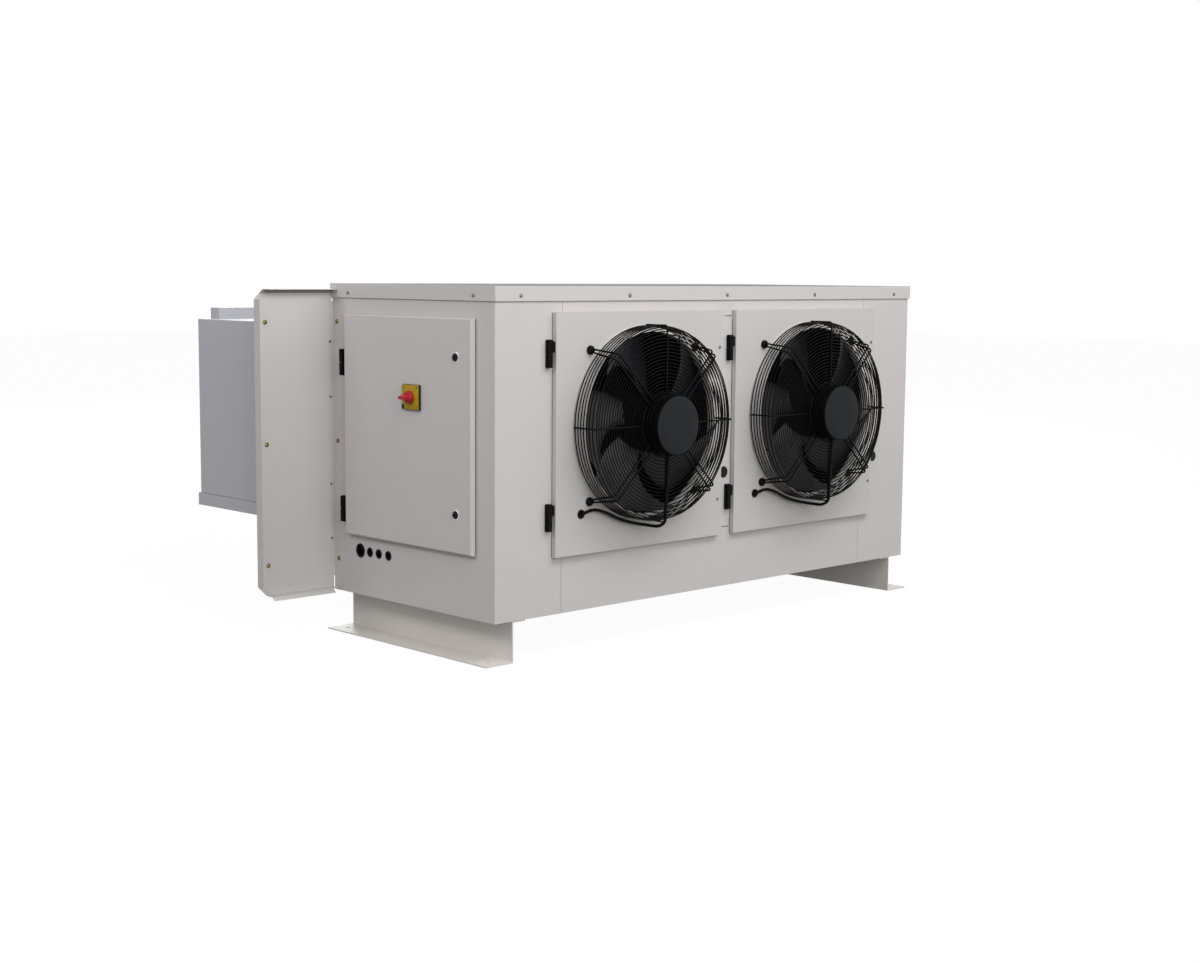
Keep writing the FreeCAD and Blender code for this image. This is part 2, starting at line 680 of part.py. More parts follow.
def on_panel_door(shape):
    """Places a shape drawn in the electrical door's own frame."""
    return facing_left(shape, LEFT - DOOR_RAISE, 0.0, DOOR_CENTRE_Z)


def inlet_ring(fan):
    """Pressed inlet collar: the plate turns out in a quarter round and stands up as a short straight throat."""
    r, f, t, top = fan.throat_r, fan.flare, SHEET, fan.collar
    bend = f - t
    cos45 = math.sqrt(0.5)

    def flare_arc(radius):
        edge = r + f
        return Part.Arc(V(edge - radius, 0, bend), V(edge - radius * cos45, 0, bend - radius * cos45),
                        V(edge, 0, bend - radius)).toShape()

    corners = [V(r, 0, bend), V(r, 0, top), V(r + t, 0, top), V(r + t, 0, bend)]
    sides = [Part.makeLine(a, b) for a, b in zip(corners, corners[1:])]
    rim = Part.makeLine(V(r + f, 0, -t), V(r + f, 0, 0))
    outline = Part.Wire(Part.__sortEdges__([flare_arc(f), flare_arc(bend), rim] + sides))
    return Part.Face(outline).revolve(V(0, 0, 0), V(0, 0, 1), 360)


def fan_door(index):
    """Hinged door that carries one condenser fan."""
    fan = CONDENSER_FAN
    hole = Part.makeCylinder(fan.throat_r + fan.flare, SHEET * 2, V(0, FAN_RAISE, -SHEET * 1.5))
    plate = tray_door(FAN_DOOR_SIZE, FAN_DOOR_SIZE).cut(hole)
    flare = inlet_ring(fan)
    flare.translate(V(0, FAN_RAISE, 0))
    return on_fan_door(join([plate, flare]), index)


def fan_door_hinges(index):
    """Door halves of the fan door's two hinges."""
    leaves = [hinge_leaf(FAN_DOOR_SIZE, rise) for rise in (FAN_HINGE_RISE, -FAN_HINGE_RISE)]
    return group([on_fan_door(leaf, index) for leaf in leaves])


def fan_door_screws(index):
    """Two screws that close the fan door, near its free edge."""
    head = screw_head(DOOR_SCREW_R)
    pieces = []
    for rise in (-DOOR_SCREW_RISE, DOOR_SCREW_RISE):
        screw = head.copy()
        screw.translate(V(FAN_DOOR_SIZE / 2 - DOOR_SCREW_INSET, rise, 0))
        pieces.append(on_fan_door(screw, index))
    return group(pieces)


def wire_guard(fan):
    """Basket guard of welded wire: rings down the side and over the front, single radial wires,
    and double-wire arms on the diagonals that carry the motor and end in feet on the plate."""
    wire, front, r = fan.wire, fan.guard_front, fan.guard_r
    seat_r = fan.motor_r + fan.seat_clearance
    middle = (fan.guard_stand + front) / 2
    pieces = [ring(r, height, wire) for height in (fan.guard_stand, middle, front)]
    spread = r - fan.motor_r
    pieces += [ring(fan.motor_r + spread * share, front, wire) for share in (0.3, 0.65)]
    seat_low = V(0, 0, front - wire / 2)
    seat = Part.makeCylinder(seat_r + 2 * wire, wire, seat_low)
    pieces.append(seat.cut(Part.makeCylinder(seat_r, wire, seat_low)))
    arms = []
    for quarter in range(4):
        spokes = [bar(V(seat_r + 4.0, 0, front), V(r, 0, front), wire * 0.8),
                  bar(V(r, 0, front), V(r, 0, fan.guard_stand), wire * 0.8)]
        diagonal = []
        for side in (-fan.arm_gap / 2, fan.arm_gap / 2):
            bend = V(r - 3.0, side, front + wire)
            diagonal.append(bar(V(seat_r + 2.0, side, front + wire), bend, wire))
            diagonal.append(bar(bend + V(0, 0, wire / 2), V(fan.foot_r, side / 2, 2.0), wire))
        foot_pad = Part.makeCylinder(fan.foot_size, 6.0, V(fan.foot_r, 0, 0))
        foot_cap = Part.makeCone(fan.foot_size, fan.foot_size * 0.6, 3.0, V(fan.foot_r, 0, 6.0))
        for piece in spokes:
            piece.rotate(V(0, 0, 0), V(0, 0, 1), 90 * quarter)
        for piece in diagonal + [foot_pad, foot_cap]:
            piece.rotate(V(0, 0, 0), V(0, 0, 1), 45 + 90 * quarter)
        arms += spokes + diagonal + [foot_pad, foot_cap]
    return join(pieces + arms)


def stator(fan):
    """Fixed half of the external-rotor motor: round can with a flat cap, and the shaft that carries the rotor."""
    back = fan.stator_back
    r, front = fan.motor_r, fan.motor_front
    return lathe([(0, fan.shaft_end), (fan.shaft_r, fan.shaft_end), (fan.shaft_r, back), (r - 4.0, back),
                  (r, back + 4.0), (r, front - 7.0), (r - 1.5, front - 6.0), (r - 1.5, front - 5.0), (r, front - 4.0),
                  (r, front - 1.5), (r - 1.5, front), (r - 4.0, front), (r - 5.0, front - 1.0),
                  (0, front - 1.0)])


def sickle_blade(fan):
    """One forward-swept blade: a twisted slab from hub to tip, trimmed by its sickle-shaped outline."""
    hub_r, tip_r = fan.motor_r - 4.0, fan.tip_r
    thick = 2.5 + fan.tip_r * 0.004
    centre = fan.blade_reach - fan.hub_back

    def at(radius, degrees):
        angle = math.radians(degrees)
        return V(radius * math.cos(angle), radius * math.sin(angle), centre - 100)

    middle_r = (hub_r + tip_r) / 2
    edges = [Part.Arc(at(hub_r, -38), at(hub_r, -15), at(hub_r, 8)).toShape(),
             Part.Arc(at(hub_r, 8), at(middle_r, 16), at(tip_r, 44)).toShape(),
             Part.Arc(at(tip_r, 44), at(tip_r, 15), at(tip_r, -14)).toShape(),
             Part.Arc(at(tip_r, -14), at(middle_r, -27), at(hub_r, -38)).toShape()]
    outline = Part.Face(Part.Wire(edges)).extrude(V(0, 0, 200))

    def section(x, offset, degrees):
        pitch = math.radians(degrees)
        along = V(0, math.cos(pitch), math.sin(pitch)) * (tip_r * 1.3)
        across = V(0, -math.sin(pitch), math.cos(pitch)) * (thick / 2)
        middle = V(x, offset, centre)
        corners = [middle - along - across, middle + along - across, middle + along + across,
                   middle - along + across]
        return Part.makePolygon(corners + corners[:1])

    slab = Part.makeLoft([section(0, -25.0 * tip_r / 218, 38), section(tip_r * 1.05, 45.0 * tip_r / 218, 15)],
                         True, True)
    return outline.common(slab)


def impeller(fan):
    """Rotor of the external-rotor motor with its sickle blades, bored for the shaft."""
    top = fan.hub_top
    r = fan.motor_r - 1.0
    bore_end = fan.shaft_end - 1.0
    hub = lathe([(0, -fan.hub_back), (r - 6.0, -fan.hub_back), (r, -fan.hub_back + 6.0), (r, top - 2.0),
                 (r - 2.0, top), (fan.bore_r, top), (fan.bore_r, bore_end), (0, bore_end)])
    blade = sickle_blade(fan)
    pieces = [hub]
    for n in range(fan.blades):
        copy = blade.copy()
        copy.rotate(V(0, 0, 0), V(0, 0, 1), BLADE_PHASE + 360.0 * n / fan.blades)
        pieces.append(copy)
    return join(pieces)


def on_condenser_fan(shape, index):
    """Places a shape drawn about a condenser fan's axis."""
    return facing_front(shape, FAN_X[index], FRONT - DOOR_RAISE, FAN_Z)


def on_evaporator_fan(shape, x):
    """Places a shape drawn about a room-side fan's axis."""
    return facing_room(shape, x, EVAP_END + FAN_PANEL_DEPTH, EVAP_FAN_Z)


MOTOR_CABLE = [
    V(-8.0, -76.0, 96.0), V(-12.0, -238.0, 92.0), V(-16.0, -250.0, 74.0), V(-24.0, -249.0, 34.0),
    V(-52.0, -243.0, 18.0), V(-92.0, -231.0, 14.0), V(-132.0, -213.0, 14.0), V(-160.0, -204.0, 17.0),
    V(-184.0, -199.0, 16.0), V(-208.0, -210.0, 4.0),
]
CABLE_R = 4.0
GROMMET_R = 11.0
GROMMET_HEIGHT = 4.0


def cable_motor():
    """Condenser fan motor with the gland from which its cable comes."""
    start = MOTOR_CABLE[0]
    inward = (MOTOR_CABLE[0] - MOTOR_CABLE[1]).normalize()
    gland = rod(start, start + inward * 12.0, CABLE_R + 3.0)
    return join([stator(CONDENSER_FAN), gland])


def motor_cable(index):
    """Motor cable from under the motor along the lowest spoke, round the guard's side to the grommet in the door."""
    bends = soft_bends(MOTOR_CABLE)
    cable = tube(MOTOR_CABLE, CABLE_R, bends)
    end = MOTOR_CABLE[-1]
    grommet = lathe([(0, 0), (GROMMET_R, 0), (GROMMET_R, GROMMET_HEIGHT * 0.6), (GROMMET_R - 3.0, GROMMET_HEIGHT),
                     (0, GROMMET_HEIGHT)])
    grommet.translate(V(end.x, end.y, 0))
    if index == 0:
        print("motor cable bend radii", [round(bend, 1) for bend in bends],
              "length from volume", round(cable.Volume / (math.pi * CABLE_R ** 2), 1))
    return on_condenser_fan(group([cable.cut(grommet), grommet]), index)


def hinge_bases():
    """Fixed halves of the six hinges."""
    pieces = []
    for index in (0, 1):
        for rise in (FAN_HINGE_RISE, -FAN_HINGE_RISE):
            pieces.append(on_fan_door(hinge_base(FAN_DOOR_SIZE, rise), index))
    for rise in (PANEL_HINGE_UP, -PANEL_HINGE_DOWN):
        pieces.append(on_panel_door(hinge_base(PANEL_DOOR_DEPTH, rise)))
    return group(pieces)


def electrical_door():
    """Door of the electrical compartment with the holes of the two locks and the switch shaft."""
    door = tray_door(PANEL_DOOR_DEPTH, PANEL_DOOR_HEIGHT)
    x = PANEL_DOOR_DEPTH / 2 - LOCK_INSET
    cuts = [Part.makeCylinder(LOCK_INSERT_R + LOCK_CLEARANCE, SHEET, V(x, rise, -SHEET))
            for rise in (LOCK_RISE, -LOCK_RISE)]
    cuts.append(Part.makeCylinder(KNOB_STEM_R + LOCK_CLEARANCE, SHEET,
                                  V(-SWITCH_Y, SWITCH_Z - DOOR_CENTRE_Z, -SHEET)))
    return on_panel_door(door.cut(group(cuts)))


def electrical_door_hinges():
    """Door halves of the electrical door's two hinges."""
    leaves = [hinge_leaf(PANEL_DOOR_DEPTH, rise) for rise in (PANEL_HINGE_UP, -PANEL_HINGE_DOWN)]
    return group([on_panel_door(leaf) for leaf in leaves])


def lock_bezels():
    """Bright collars round the two quarter-turn locks."""
    inner = LOCK_INSERT_R + LOCK_CLEARANCE
    profile = [(inner, 0), (LOCK_BEZEL_R, 0), (LOCK_BEZEL_R, LOCK_PROUD * 0.4), (LOCK_BEZEL_R - 2.0, LOCK_PROUD),
               (inner, LOCK_PROUD)]
    collar = lathe(profile)
    x = PANEL_DOOR_DEPTH / 2 - LOCK_INSET
    pieces = []
    for rise in (LOCK_RISE, -LOCK_RISE):
        copy = collar.copy()
        copy.translate(V(x, rise, 0))
        pieces.append(on_panel_door(copy))
    return group(pieces)


def door_lock(rise):
    """Quarter-turn insert with a key recess; its cam hangs down and turns behind the casing's edge."""
    casing_back = -DOOR_RAISE - SHEET
    cam_top = casing_back - DOOR_GAP
    cam_low = cam_top - LOCK_CAM_THICK
    top = LOCK_PROUD - DOOR_GAP
    barrel = Part.makeCylinder(LOCK_INSERT_R, top - cam_low, V(0, 0, cam_low))
    recess = prism([V(LOCK_KEY_R * math.cos(a), LOCK_KEY_R * math.sin(a), top - LOCK_PROUD)
                    for a in (math.radians(90), math.radians(210), math.radians(330))], V(0, 0, LOCK_PROUD))
    cam = box(-LOCK_CAM_HALF_WIDTH, -LOCK_CAM_LENGTH, cam_low, LOCK_CAM_HALF_WIDTH, 0, cam_top)
    shape = join([barrel.cut(recess), cam])
    shape.translate(V(PANEL_DOOR_DEPTH / 2 - LOCK_INSET, rise, 0))
    return on_panel_door(shape)


def on_switch(shape):
    """Places a shape drawn about the main disconnect's shaft."""
    moved = shape.copy()
    moved.translate(V(-SWITCH_Y, SWITCH_Z - DOOR_CENTRE_Z, 0))
    return on_panel_door(moved)


def disconnect_plate():
    """Dark base of the main disconnect with a plate a little smaller on it, bored for the shaft."""
    pieces = []
    for inset, low, high in ((0.0, 0.0, SWITCH_BASE_THICK), (1.0, SWITCH_BASE_THICK, SWITCH_TOP)):
        x, y = SWITCH_PLATE / 2 - inset, SWITCH_PLATE_HEIGHT / 2 - inset
        pieces.append(box(-x, -y, low, x, y, high))
    bore = Part.makeCylinder(KNOB_STEM_R + LOCK_CLEARANCE, SWITCH_TOP)
    return on_switch(join(pieces).cut(bore))


def disconnect_knob():
    """Red rotary knob: round skirt, tapered grip bar across it and the shaft through the door."""
    low = SWITCH_TOP + KNOB_GAP
    r = KNOB_R
    skirt = lathe([(0, low), (r, low), (r, low + KNOB_SKIRT - 3.0), (r - 2.5, low + KNOB_SKIRT),
                   (0, low + KNOB_SKIRT)])
    half, root, tip = KNOB_GRIP / 2, low + KNOB_SKIRT / 2, low + KNOB_LENGTH
    grip = prism([V(-r * 0.85, -half, root), V(r * 0.85, -half, root), V(r * 0.85, -half, tip - r * 0.6),
                  V(r * 0.5, -half, tip), V(-r * 0.5, -half, tip), V(-r * 0.85, -half, tip - r * 0.6)],
                 V(0, KNOB_GRIP, 0))
    stem = Part.makeCylinder(KNOB_STEM_R, low + DOOR_RAISE, V(0, 0, -DOOR_RAISE))
    return on_switch(join([skirt, grip, stem]))


def partition():
    """Wall of the electrical compartment, behind the left seam post."""
    x = -SEAM - 2.0
    return box(x - SHEET, FRONT + 2 * SHEET + POST_SHEET, BASE + SHEET, x, BACK - SHEET * 2, UNDER_LID)


BACKPLATE_X = -SEAM - 2.0 - SHEET - BACKPLATE_GAP


def electrical_backplate():
    """Mounting plate for the switchgear with four spacers to the partition and two mounting rails."""
    x1 = BACKPLATE_X
    x0 = x1 - BACKPLATE_SHEET
    y = BODY_DEPTH / 2 - BACKPLATE_MARGIN_Y
    z0, z1 = BASE + BACKPLATE_RISE, ROOF - BACKPLATE_DROP
    pieces = [box(x0, -y, z0, x1, y, z1)]
    for spacer_y in (-y + SPACER_INSET, y - SPACER_INSET):
        for spacer_z in (z0 + SPACER_INSET, z1 - SPACER_INSET):
            pieces.append(rod(V(x1, spacer_y, spacer_z), V(x1 + BACKPLATE_GAP, spacer_y, spacer_z), SPACER_R))
    for z in RAIL_Z:
        pieces.append(box(x0 - RAIL_DEPTH, -RAIL_LENGTH / 2, z - RAIL_HEIGHT / 2, x0, RAIL_LENGTH / 2,
                          z + RAIL_HEIGHT / 2))
    return join(pieces)


RAIL_FRONT = BACKPLATE_X - BACKPLATE_SHEET - RAIL_DEPTH
DEVICE_START = -RAIL_LENGTH / 2 + RAIL_END


def contactors():
    """Contactors and breakers on the upper rail, each a body with a narrower nose."""
    pieces = []
    y, z = DEVICE_START, RAIL_Z[0]
    for width, height, depth in BREAKER_SIZES:
        shoulder = RAIL_FRONT - depth * BREAKER_BODY_SHARE
        body = box(shoulder, y, z - height / 2, RAIL_FRONT, y + width, z + height / 2)
        nose = box(RAIL_FRONT - depth, y, z - height / 4, shoulder, y + width, z + height / 4)
        pieces.append(join([body, nose]))
        y += width + BREAKER_GAP
    return group(pieces)


def terminal_block():
    """Row of terminals on the lower rail."""
    pieces = []
    low, high = RAIL_Z[1] - TERMINAL_HEIGHT / 2, RAIL_Z[1] + TERMINAL_HEIGHT / 2
    for n in range(TERMINAL_COUNT):
        y = DEVICE_START + n * TERMINAL_PITCH
        pieces.append(box(RAIL_FRONT - TERMINAL_DEPTH, y, low, RAIL_FRONT, y + TERMINAL_PITCH - TERMINAL_GAP, high))
    return group(pieces)


def controller():
    """Electronic controller with its cover, on the lower rail beside the terminals."""
    y0, y1 = CONTROLLER_START, CONTROLLER_START + CONTROLLER_WIDTH
    z0, z1 = RAIL_Z[1] - CONTROLLER_HEIGHT / 2, RAIL_Z[1] + CONTROLLER_HEIGHT / 2
    face = RAIL_FRONT - CONTROLLER_DEPTH
    base = box(face, y0, z0, RAIL_FRONT, y1, z1)
    cover = box(face - CONTROLLER_COVER_DEPTH, y0 + CONTROLLER_COVER_INSET_Y, z0 + CONTROLLER_COVER_INSET_Z,
                face, y1 - CONTROLLER_COVER_INSET_Y, z1 - CONTROLLER_COVER_INSET_Z)
    return join([base, cover])


CONDENSER_FRONT = FRONT + CONDENSER_SETBACK
CONDENSER_BACK = CONDENSER_FRONT + CONDENSER_DEPTH


def finned_coil(half_width, y0, y1, low, high, rows):
    """Finned coil: fins at a pitch between two end plates, with return bends outside the end plates."""
    count = int((2 * half_width - 2 * FIN_THICK) // FIN_PITCH)
    start = -count * FIN_PITCH / 2
    t = COIL_PLATE
    pieces = [box(start + n * FIN_PITCH, y0 + t, low + t, start + n * FIN_PITCH + FIN_THICK, y1 - t, high - t)
              for n in range(1, count)]
    frame = [box(-half_width, y0, low, half_width, y1, low + t),
             box(-half_width, y0, high - t, half_width, y1, high),
             box(-half_width, y0, low, -half_width + t, y1, high),
             box(half_width - t, y0, low, half_width, y1, high)]
    middle = (y0 + y1) / 2
    gap = (high - low) / (rows + 1)
    for n in range(1, rows + 1):
        z = low + gap * n
        for side in (-1, 1):
            edge = side * half_width
            bend = Part.makeTorus(COIL_BEND_R, COIL_TUBE_R, V(edge, middle, z), V(0, 1, 0), 0, 360, 360)
            outside = box(edge, y0, low, edge + side * 2 * COIL_BEND_R, y1, high)
            frame.append(bend.common(outside))
    return group([join(frame)] + pieces)


def condenser_coil():
    """Condenser behind the two fans."""
    return finned_coil(CONDENSER_HALF_WIDTH, CONDENSER_FRONT, CONDENSER_BACK, CONDENSER_BOTTOM, CONDENSER_TOP, 4)


def coil_shroud():
    """Baffles between the front panel and the condenser: two shelves with the sides and the divider between
    them, and the legs that carry the lower shelf and the coil."""
    y0 = FRONT + SHEET * 2 + POST_SHEET
    y1 = CONDENSER_FRONT
    x = FAN_X[1] + CONDENSER_FAN.throat_r + SHEET + SHROUD_CLEARANCE
    low, high = CONDENSER_BOTTOM + SHEET, CONDENSER_TOP - SHEET
    pieces = [box(-x - SHEET, y0, CONDENSER_BOTTOM, x + SHEET, y1, low),
              box(-x - SHEET, y0, high, x + SHEET, y1, CONDENSER_TOP)]
    for start in (-x - SHEET, -SHEET / 2, x):
        pieces.append(box(start, y0, low, start + SHEET, y1, high))
    for side in (-1, 1):
        outer, inner = side * (CONDENSER_HALF_WIDTH - SHROUD_LEG / 2), side * (CONDENSER_HALF_WIDTH - SHROUD_LEG * 1.5)
        pieces.append(box(inner, y1 - SHROUD_LEG, BASE + SHEET, outer, CONDENSER_BACK, CONDENSER_BOTTOM))
    return group(pieces)


COMPRESSOR_FLOOR = BASE + SHEET + MOUNT_HEIGHT
FOOT_TOP = COMPRESSOR_FLOOR + COMPRESSOR_FOOT
SHAFT_Z = FOOT_TOP + BARREL_R + CASE_FLANGE_LAP


def compressor():
    """Semi-hermetic compressor: motor barrel with end bell, crankcase, cylinder heads and terminal box."""
    x, y = COMPRESSOR_X, COMPRESSOR_Y
    left, right = x - CRANKCASE_LENGTH / 2, x + CRANKCASE_LENGTH / 2
    head_z = COMPRESSOR_FLOOR + CRANKCASE_HEIGHT
    bell = BARREL_LENGTH * 0.88
    barrel = lathe([(0, 0), (BARREL_R, 0), (BARREL_R, bell), (BARREL_R * 0.86, BARREL_LENGTH * 0.96),
                    (BARREL_R * 0.5, BARREL_LENGTH), (0, BARREL_LENGTH)], V(right - 1.0, y, SHAFT_Z), V(1, 0, 0))
    flange_x = right + 2 * CASE_FLANGE_THICK
    flange = Part.makeCylinder(BARREL_R + CASE_FLANGE_LAP, CASE_FLANGE_THICK, V(flange_x, y, SHAFT_Z), V(1, 0, 0))
    case = box(left, y - CRANKCASE_DEPTH / 2, FOOT_TOP, right, y + CRANKCASE_DEPTH / 2, head_z)
    case = case.makeFillet(CASE_FILLET, [edge for edge in case.Edges
                                         if abs(edge.tangentAt(edge.FirstParameter).x) > 0.9])
    cover = rod(V(left - CASE_COVER_THICK, y, SHAFT_Z), V(left, y, SHAFT_Z), CASE_COVER_R)
    pieces = [barrel, flange, case, cover]
    for n in (0, 1):
        start = left + HEAD_GAP / 2 + n * (HEAD_LENGTH + HEAD_GAP / 4)
        pieces.append(box(start, y - HEAD_DEPTH / 2, head_z, start + HEAD_LENGTH - HEAD_GAP, y + HEAD_DEPTH / 2,
                          head_z + HEAD_HEIGHT))
    for foot_x in COMPRESSOR_FEET_X:
        middle = x + foot_x
        pieces.append(box(middle - COMPRESSOR_FOOT_WIDTH / 2, y - COMPRESSOR_FOOT_DEPTH / 2, COMPRESSOR_FLOOR,
                          middle + COMPRESSOR_FOOT_WIDTH / 2, y + COMPRESSOR_FOOT_DEPTH / 2, FOOT_TOP))
    saddle_x = x + COMPRESSOR_FEET_X[1]
    pieces.append(box(saddle_x - SADDLE_WIDTH / 2, y - SADDLE_DEPTH / 2, FOOT_TOP, saddle_x + SADDLE_WIDTH / 2,
                      y + SADDLE_DEPTH / 2, SHAFT_Z - BARREL_R * 0.85))
    box_x, box_z = right + BARREL_LENGTH / 4, SHAFT_Z + BARREL_R - TERMINAL_BOX_SINK
    pieces.append(box(box_x, y - TERMINAL_BOX_LENGTH / 2, box_z, box_x + TERMINAL_BOX_LENGTH,
                      y + TERMINAL_BOX_LENGTH / 2, box_z + TERMINAL_BOX_HEIGHT))
    return join(pieces)


def compressor_mounts():
    """Four waisted rubber mounts under the compressor's feet."""
    h, r = MOUNT_HEIGHT, MOUNT_R
    profile = [(0, 0), (r, 0), (r, h / 6), (r * 0.75, h / 2), (r, h * 5 / 6), (r, h), (0, h)]
    mount = lathe(profile)
    pieces = []
    for foot_x in COMPRESSOR_FEET_X:
        for side in (-1, 1):
            copy = mount.copy()
            copy.translate(V(COMPRESSOR_X + foot_x, COMPRESSOR_Y + side * COMPRESSOR_MOUNT_Y, BASE + SHEET))
            pieces.append(copy)
    return group(pieces)


RECEIVER_Z = BASE + SHEET + RECEIVER_STAND + RECEIVER_R
RECEIVER_OUT = V(RECEIVER_X + RECEIVER_BOSS_X, RECEIVER_Y, RECEIVER_Z + RECEIVER_R + RECEIVER_BOSS_RISE)


def liquid_receiver():
    """Horizontal receiver with domed ends on two saddles, and its outlet valve boss."""
    r, half = RECEIVER_R, RECEIVER_LENGTH / 2
    dome = [(r * math.cos(math.radians(a)), half - r * 0.5 + r * 0.5 * math.sin(math.radians(a)))
            for a in (0, 22.5, 45, 67.5)]
    profile = [(0, -half)] + [(px, -pz) for px, pz in reversed(dome)] + dome + [(0, half)]
    vessel = lathe(profile, V(RECEIVER_X, RECEIVER_Y, RECEIVER_Z), V(1, 0, 0))
    pieces = [vessel, rod(V(RECEIVER_OUT.x, RECEIVER_Y, RECEIVER_Z), RECEIVER_OUT, RECEIVER_BOSS_R)]
    for saddle_x in RECEIVER_SADDLES_X:
        x = RECEIVER_X + saddle_x
        pieces.append(box(x - RECEIVER_SADDLE_WIDTH / 2, RECEIVER_Y - RECEIVER_SADDLE_DEPTH / 2, BASE + SHEET,
                          x + RECEIVER_SADDLE_WIDTH / 2, RECEIVER_Y + RECEIVER_SADDLE_DEPTH / 2,
                          RECEIVER_Z - r * 0.55))
    return join(pieces)


VALVE_Y = WALL - VALVE_SETBACK
LIQUID_X = PIPE_WINDOW_X - LINE_SPREAD / 2
SUCTION_X = PIPE_WINDOW_X + LINE_SPREAD / 2


def filter_drier():
    """Filter drier standing in the liquid line: a can with necked ends."""
    r, neck, half = DRIER_R, LINE_R * 4 / 3, DRIER_LENGTH / 2
    necked = half - DRIER_NECK_LENGTH
    straight = necked - DRIER_CONE_LENGTH
    can = lathe([(0, -half), (neck, -half), (neck, -necked), (r, -straight), (r, straight), (neck, necked),
                 (neck, half), (0, half)])
    can.translate(V(RECEIVER_OUT.x, RECEIVER_OUT.y, DRIER_Z))
    return can


COIL_FACE = EVAP_END - EVAP_COIL_GAP - EVAP_COIL_DEPTH + COIL_PLATE


def liquid_line():
    """Liquid line from the receiver up to the drier, and on to the expansion valve."""
    bottom = V(RECEIVER_OUT.x, RECEIVER_OUT.y, DRIER_Z - DRIER_LENGTH / 2)
    top = V(RECEIVER_OUT.x, RECEIVER_OUT.y, DRIER_Z + DRIER_LENGTH / 2)
    z = PIPE_WINDOW_Z + LINE_RISE
    run = tube([top, V(top.x, top.y, z), V(LIQUID_X, top.y, z), V(LIQUID_X, top.y, PIPE_WINDOW_Z),
                V(LIQUID_X, VALVE_Y - VALVE_REACH, PIPE_WINDOW_Z)], LINE_R, [LINE_BEND] * 3)
    return group([rod(RECEIVER_OUT, bottom, LINE_R), run])


def expansion_valve():
    """Expansion valve at the pipe window: brass body with its power head and the pipe on to the evaporator."""
    x, z, reach = LIQUID_X, PIPE_WINDOW_Z, VALVE_REACH
    half = reach * 0.85
    body = box(x - half, VALVE_Y - reach, z - half, x + half, VALVE_Y + reach, z + half)
    head_low = z + reach * 1.2
    head = Part.makeCylinder(reach * 1.2, reach * 0.6, V(x, VALVE_Y, head_low))
    neck = rod(V(x, VALVE_Y, z), V(x, VALVE_Y, head_low), LINE_R)
    outlet = rod(V(x, VALVE_Y, z), V(x, COIL_FACE, z), LINE_R)
    return join([body, head, neck, outlet])


def suction_line():
    """Suction line from the evaporator through the wall plug and down to the compressor barrel."""
    turn_y = WALL - 2 * VALVE_REACH - LINE_BEND
    low = PIPE_WINDOW_Z - LINE_RISE * 0.7
    port = COMPRESSOR_X + CRANKCASE_LENGTH / 2 + BARREL_LENGTH * 0.8
    points = [V(SUCTION_X, COIL_FACE, PIPE_WINDOW_Z), V(SUCTION_X, turn_y, PIPE_WINDOW_Z), V(SUCTION_X, turn_y, low),
              V(port, COMPRESSOR_Y, low), V(port, COMPRESSOR_Y, SHAFT_Z + BARREL_R)]
    return tube(points, LINE_R * 1.5, [LINE_BEND * 1.2] * 3)


def discharge_line():
    """Discharge line from the cylinder heads to the top of the condenser."""
    x = COMPRESSOR_X - CRANKCASE_LENGTH / 2 + HEAD_LENGTH * 0.75
    z = COMPRESSOR_FLOOR + CRANKCASE_HEIGHT + HEAD_HEIGHT
    y = CONDENSER_BACK + DISCHARGE_SETBACK
    over = z + DISCHARGE_RISE
    top = CONDENSER_TOP - DISCHARGE_DROP
    return tube([V(x, COMPRESSOR_Y, z), V(x, COMPRESSOR_Y, over), V(x, y, over), V(x, y, top),
                 V(x, CONDENSER_BACK - COIL_PLATE, top)], LINE_R, [LINE_BEND] * 3)


def refrigerant_lines():
    """Copper lines: liquid, suction and discharge."""
    return group([liquid_line(), suction_line(), discharge_line()])


def wall_plug():
    """Insulated plug that fills the hole in the cold room wall, with the pipe passage."""
    x = EVAP_HALF_WIDTH - SHEET
    plug = box(-x, WALL, TRAY_TOP, x, WALL + PLUG_THICK, EVAP_TOP - SHEET)
    inset = 10.0
    passage = box(PIPE_WINDOW_X - PIPE_WINDOW_WIDTH / 2 + inset, WALL, PIPE_WINDOW_Z - PIPE_WINDOW_HEIGHT / 2 + inset,
                  PIPE_WINDOW_X + PIPE_WINDOW_WIDTH / 2 - inset, WALL + PLUG_THICK,
                  PIPE_WINDOW_Z + PIPE_WINDOW_HEIGHT / 2 - inset)
    return plug.cut(passage)


def evaporator_casing():
    """Casing of the evaporator: roof and sides of one folded sheet, with a lip at the room end."""
    x = EVAP_HALF_WIDTH
    shell = box(-x, WALL, TRAY_TOP, x, EVAP_END, EVAP_TOP)
    shell = shell.cut(box(-x + SHEET, WALL, TRAY_TOP, x - SHEET, EVAP_END, EVAP_TOP - SHEET))
    ends = []
    for side in (-1, 1):
        ends.append(box(side * (FAN_PANEL_HALF_WIDTH - EVAP_END_LIP / 2), EVAP_END - SHEET, TRAY_TOP,
                        side * (x - SHEET), EVAP_END, EVAP_TOP - SHEET))
    ends.append(box(-x + SHEET, EVAP_END - SHEET, TRAY_TOP, x - SHEET, EVAP_END, TRAY_TOP + EVAP_END_LIP))
    return join([shell] + ends)


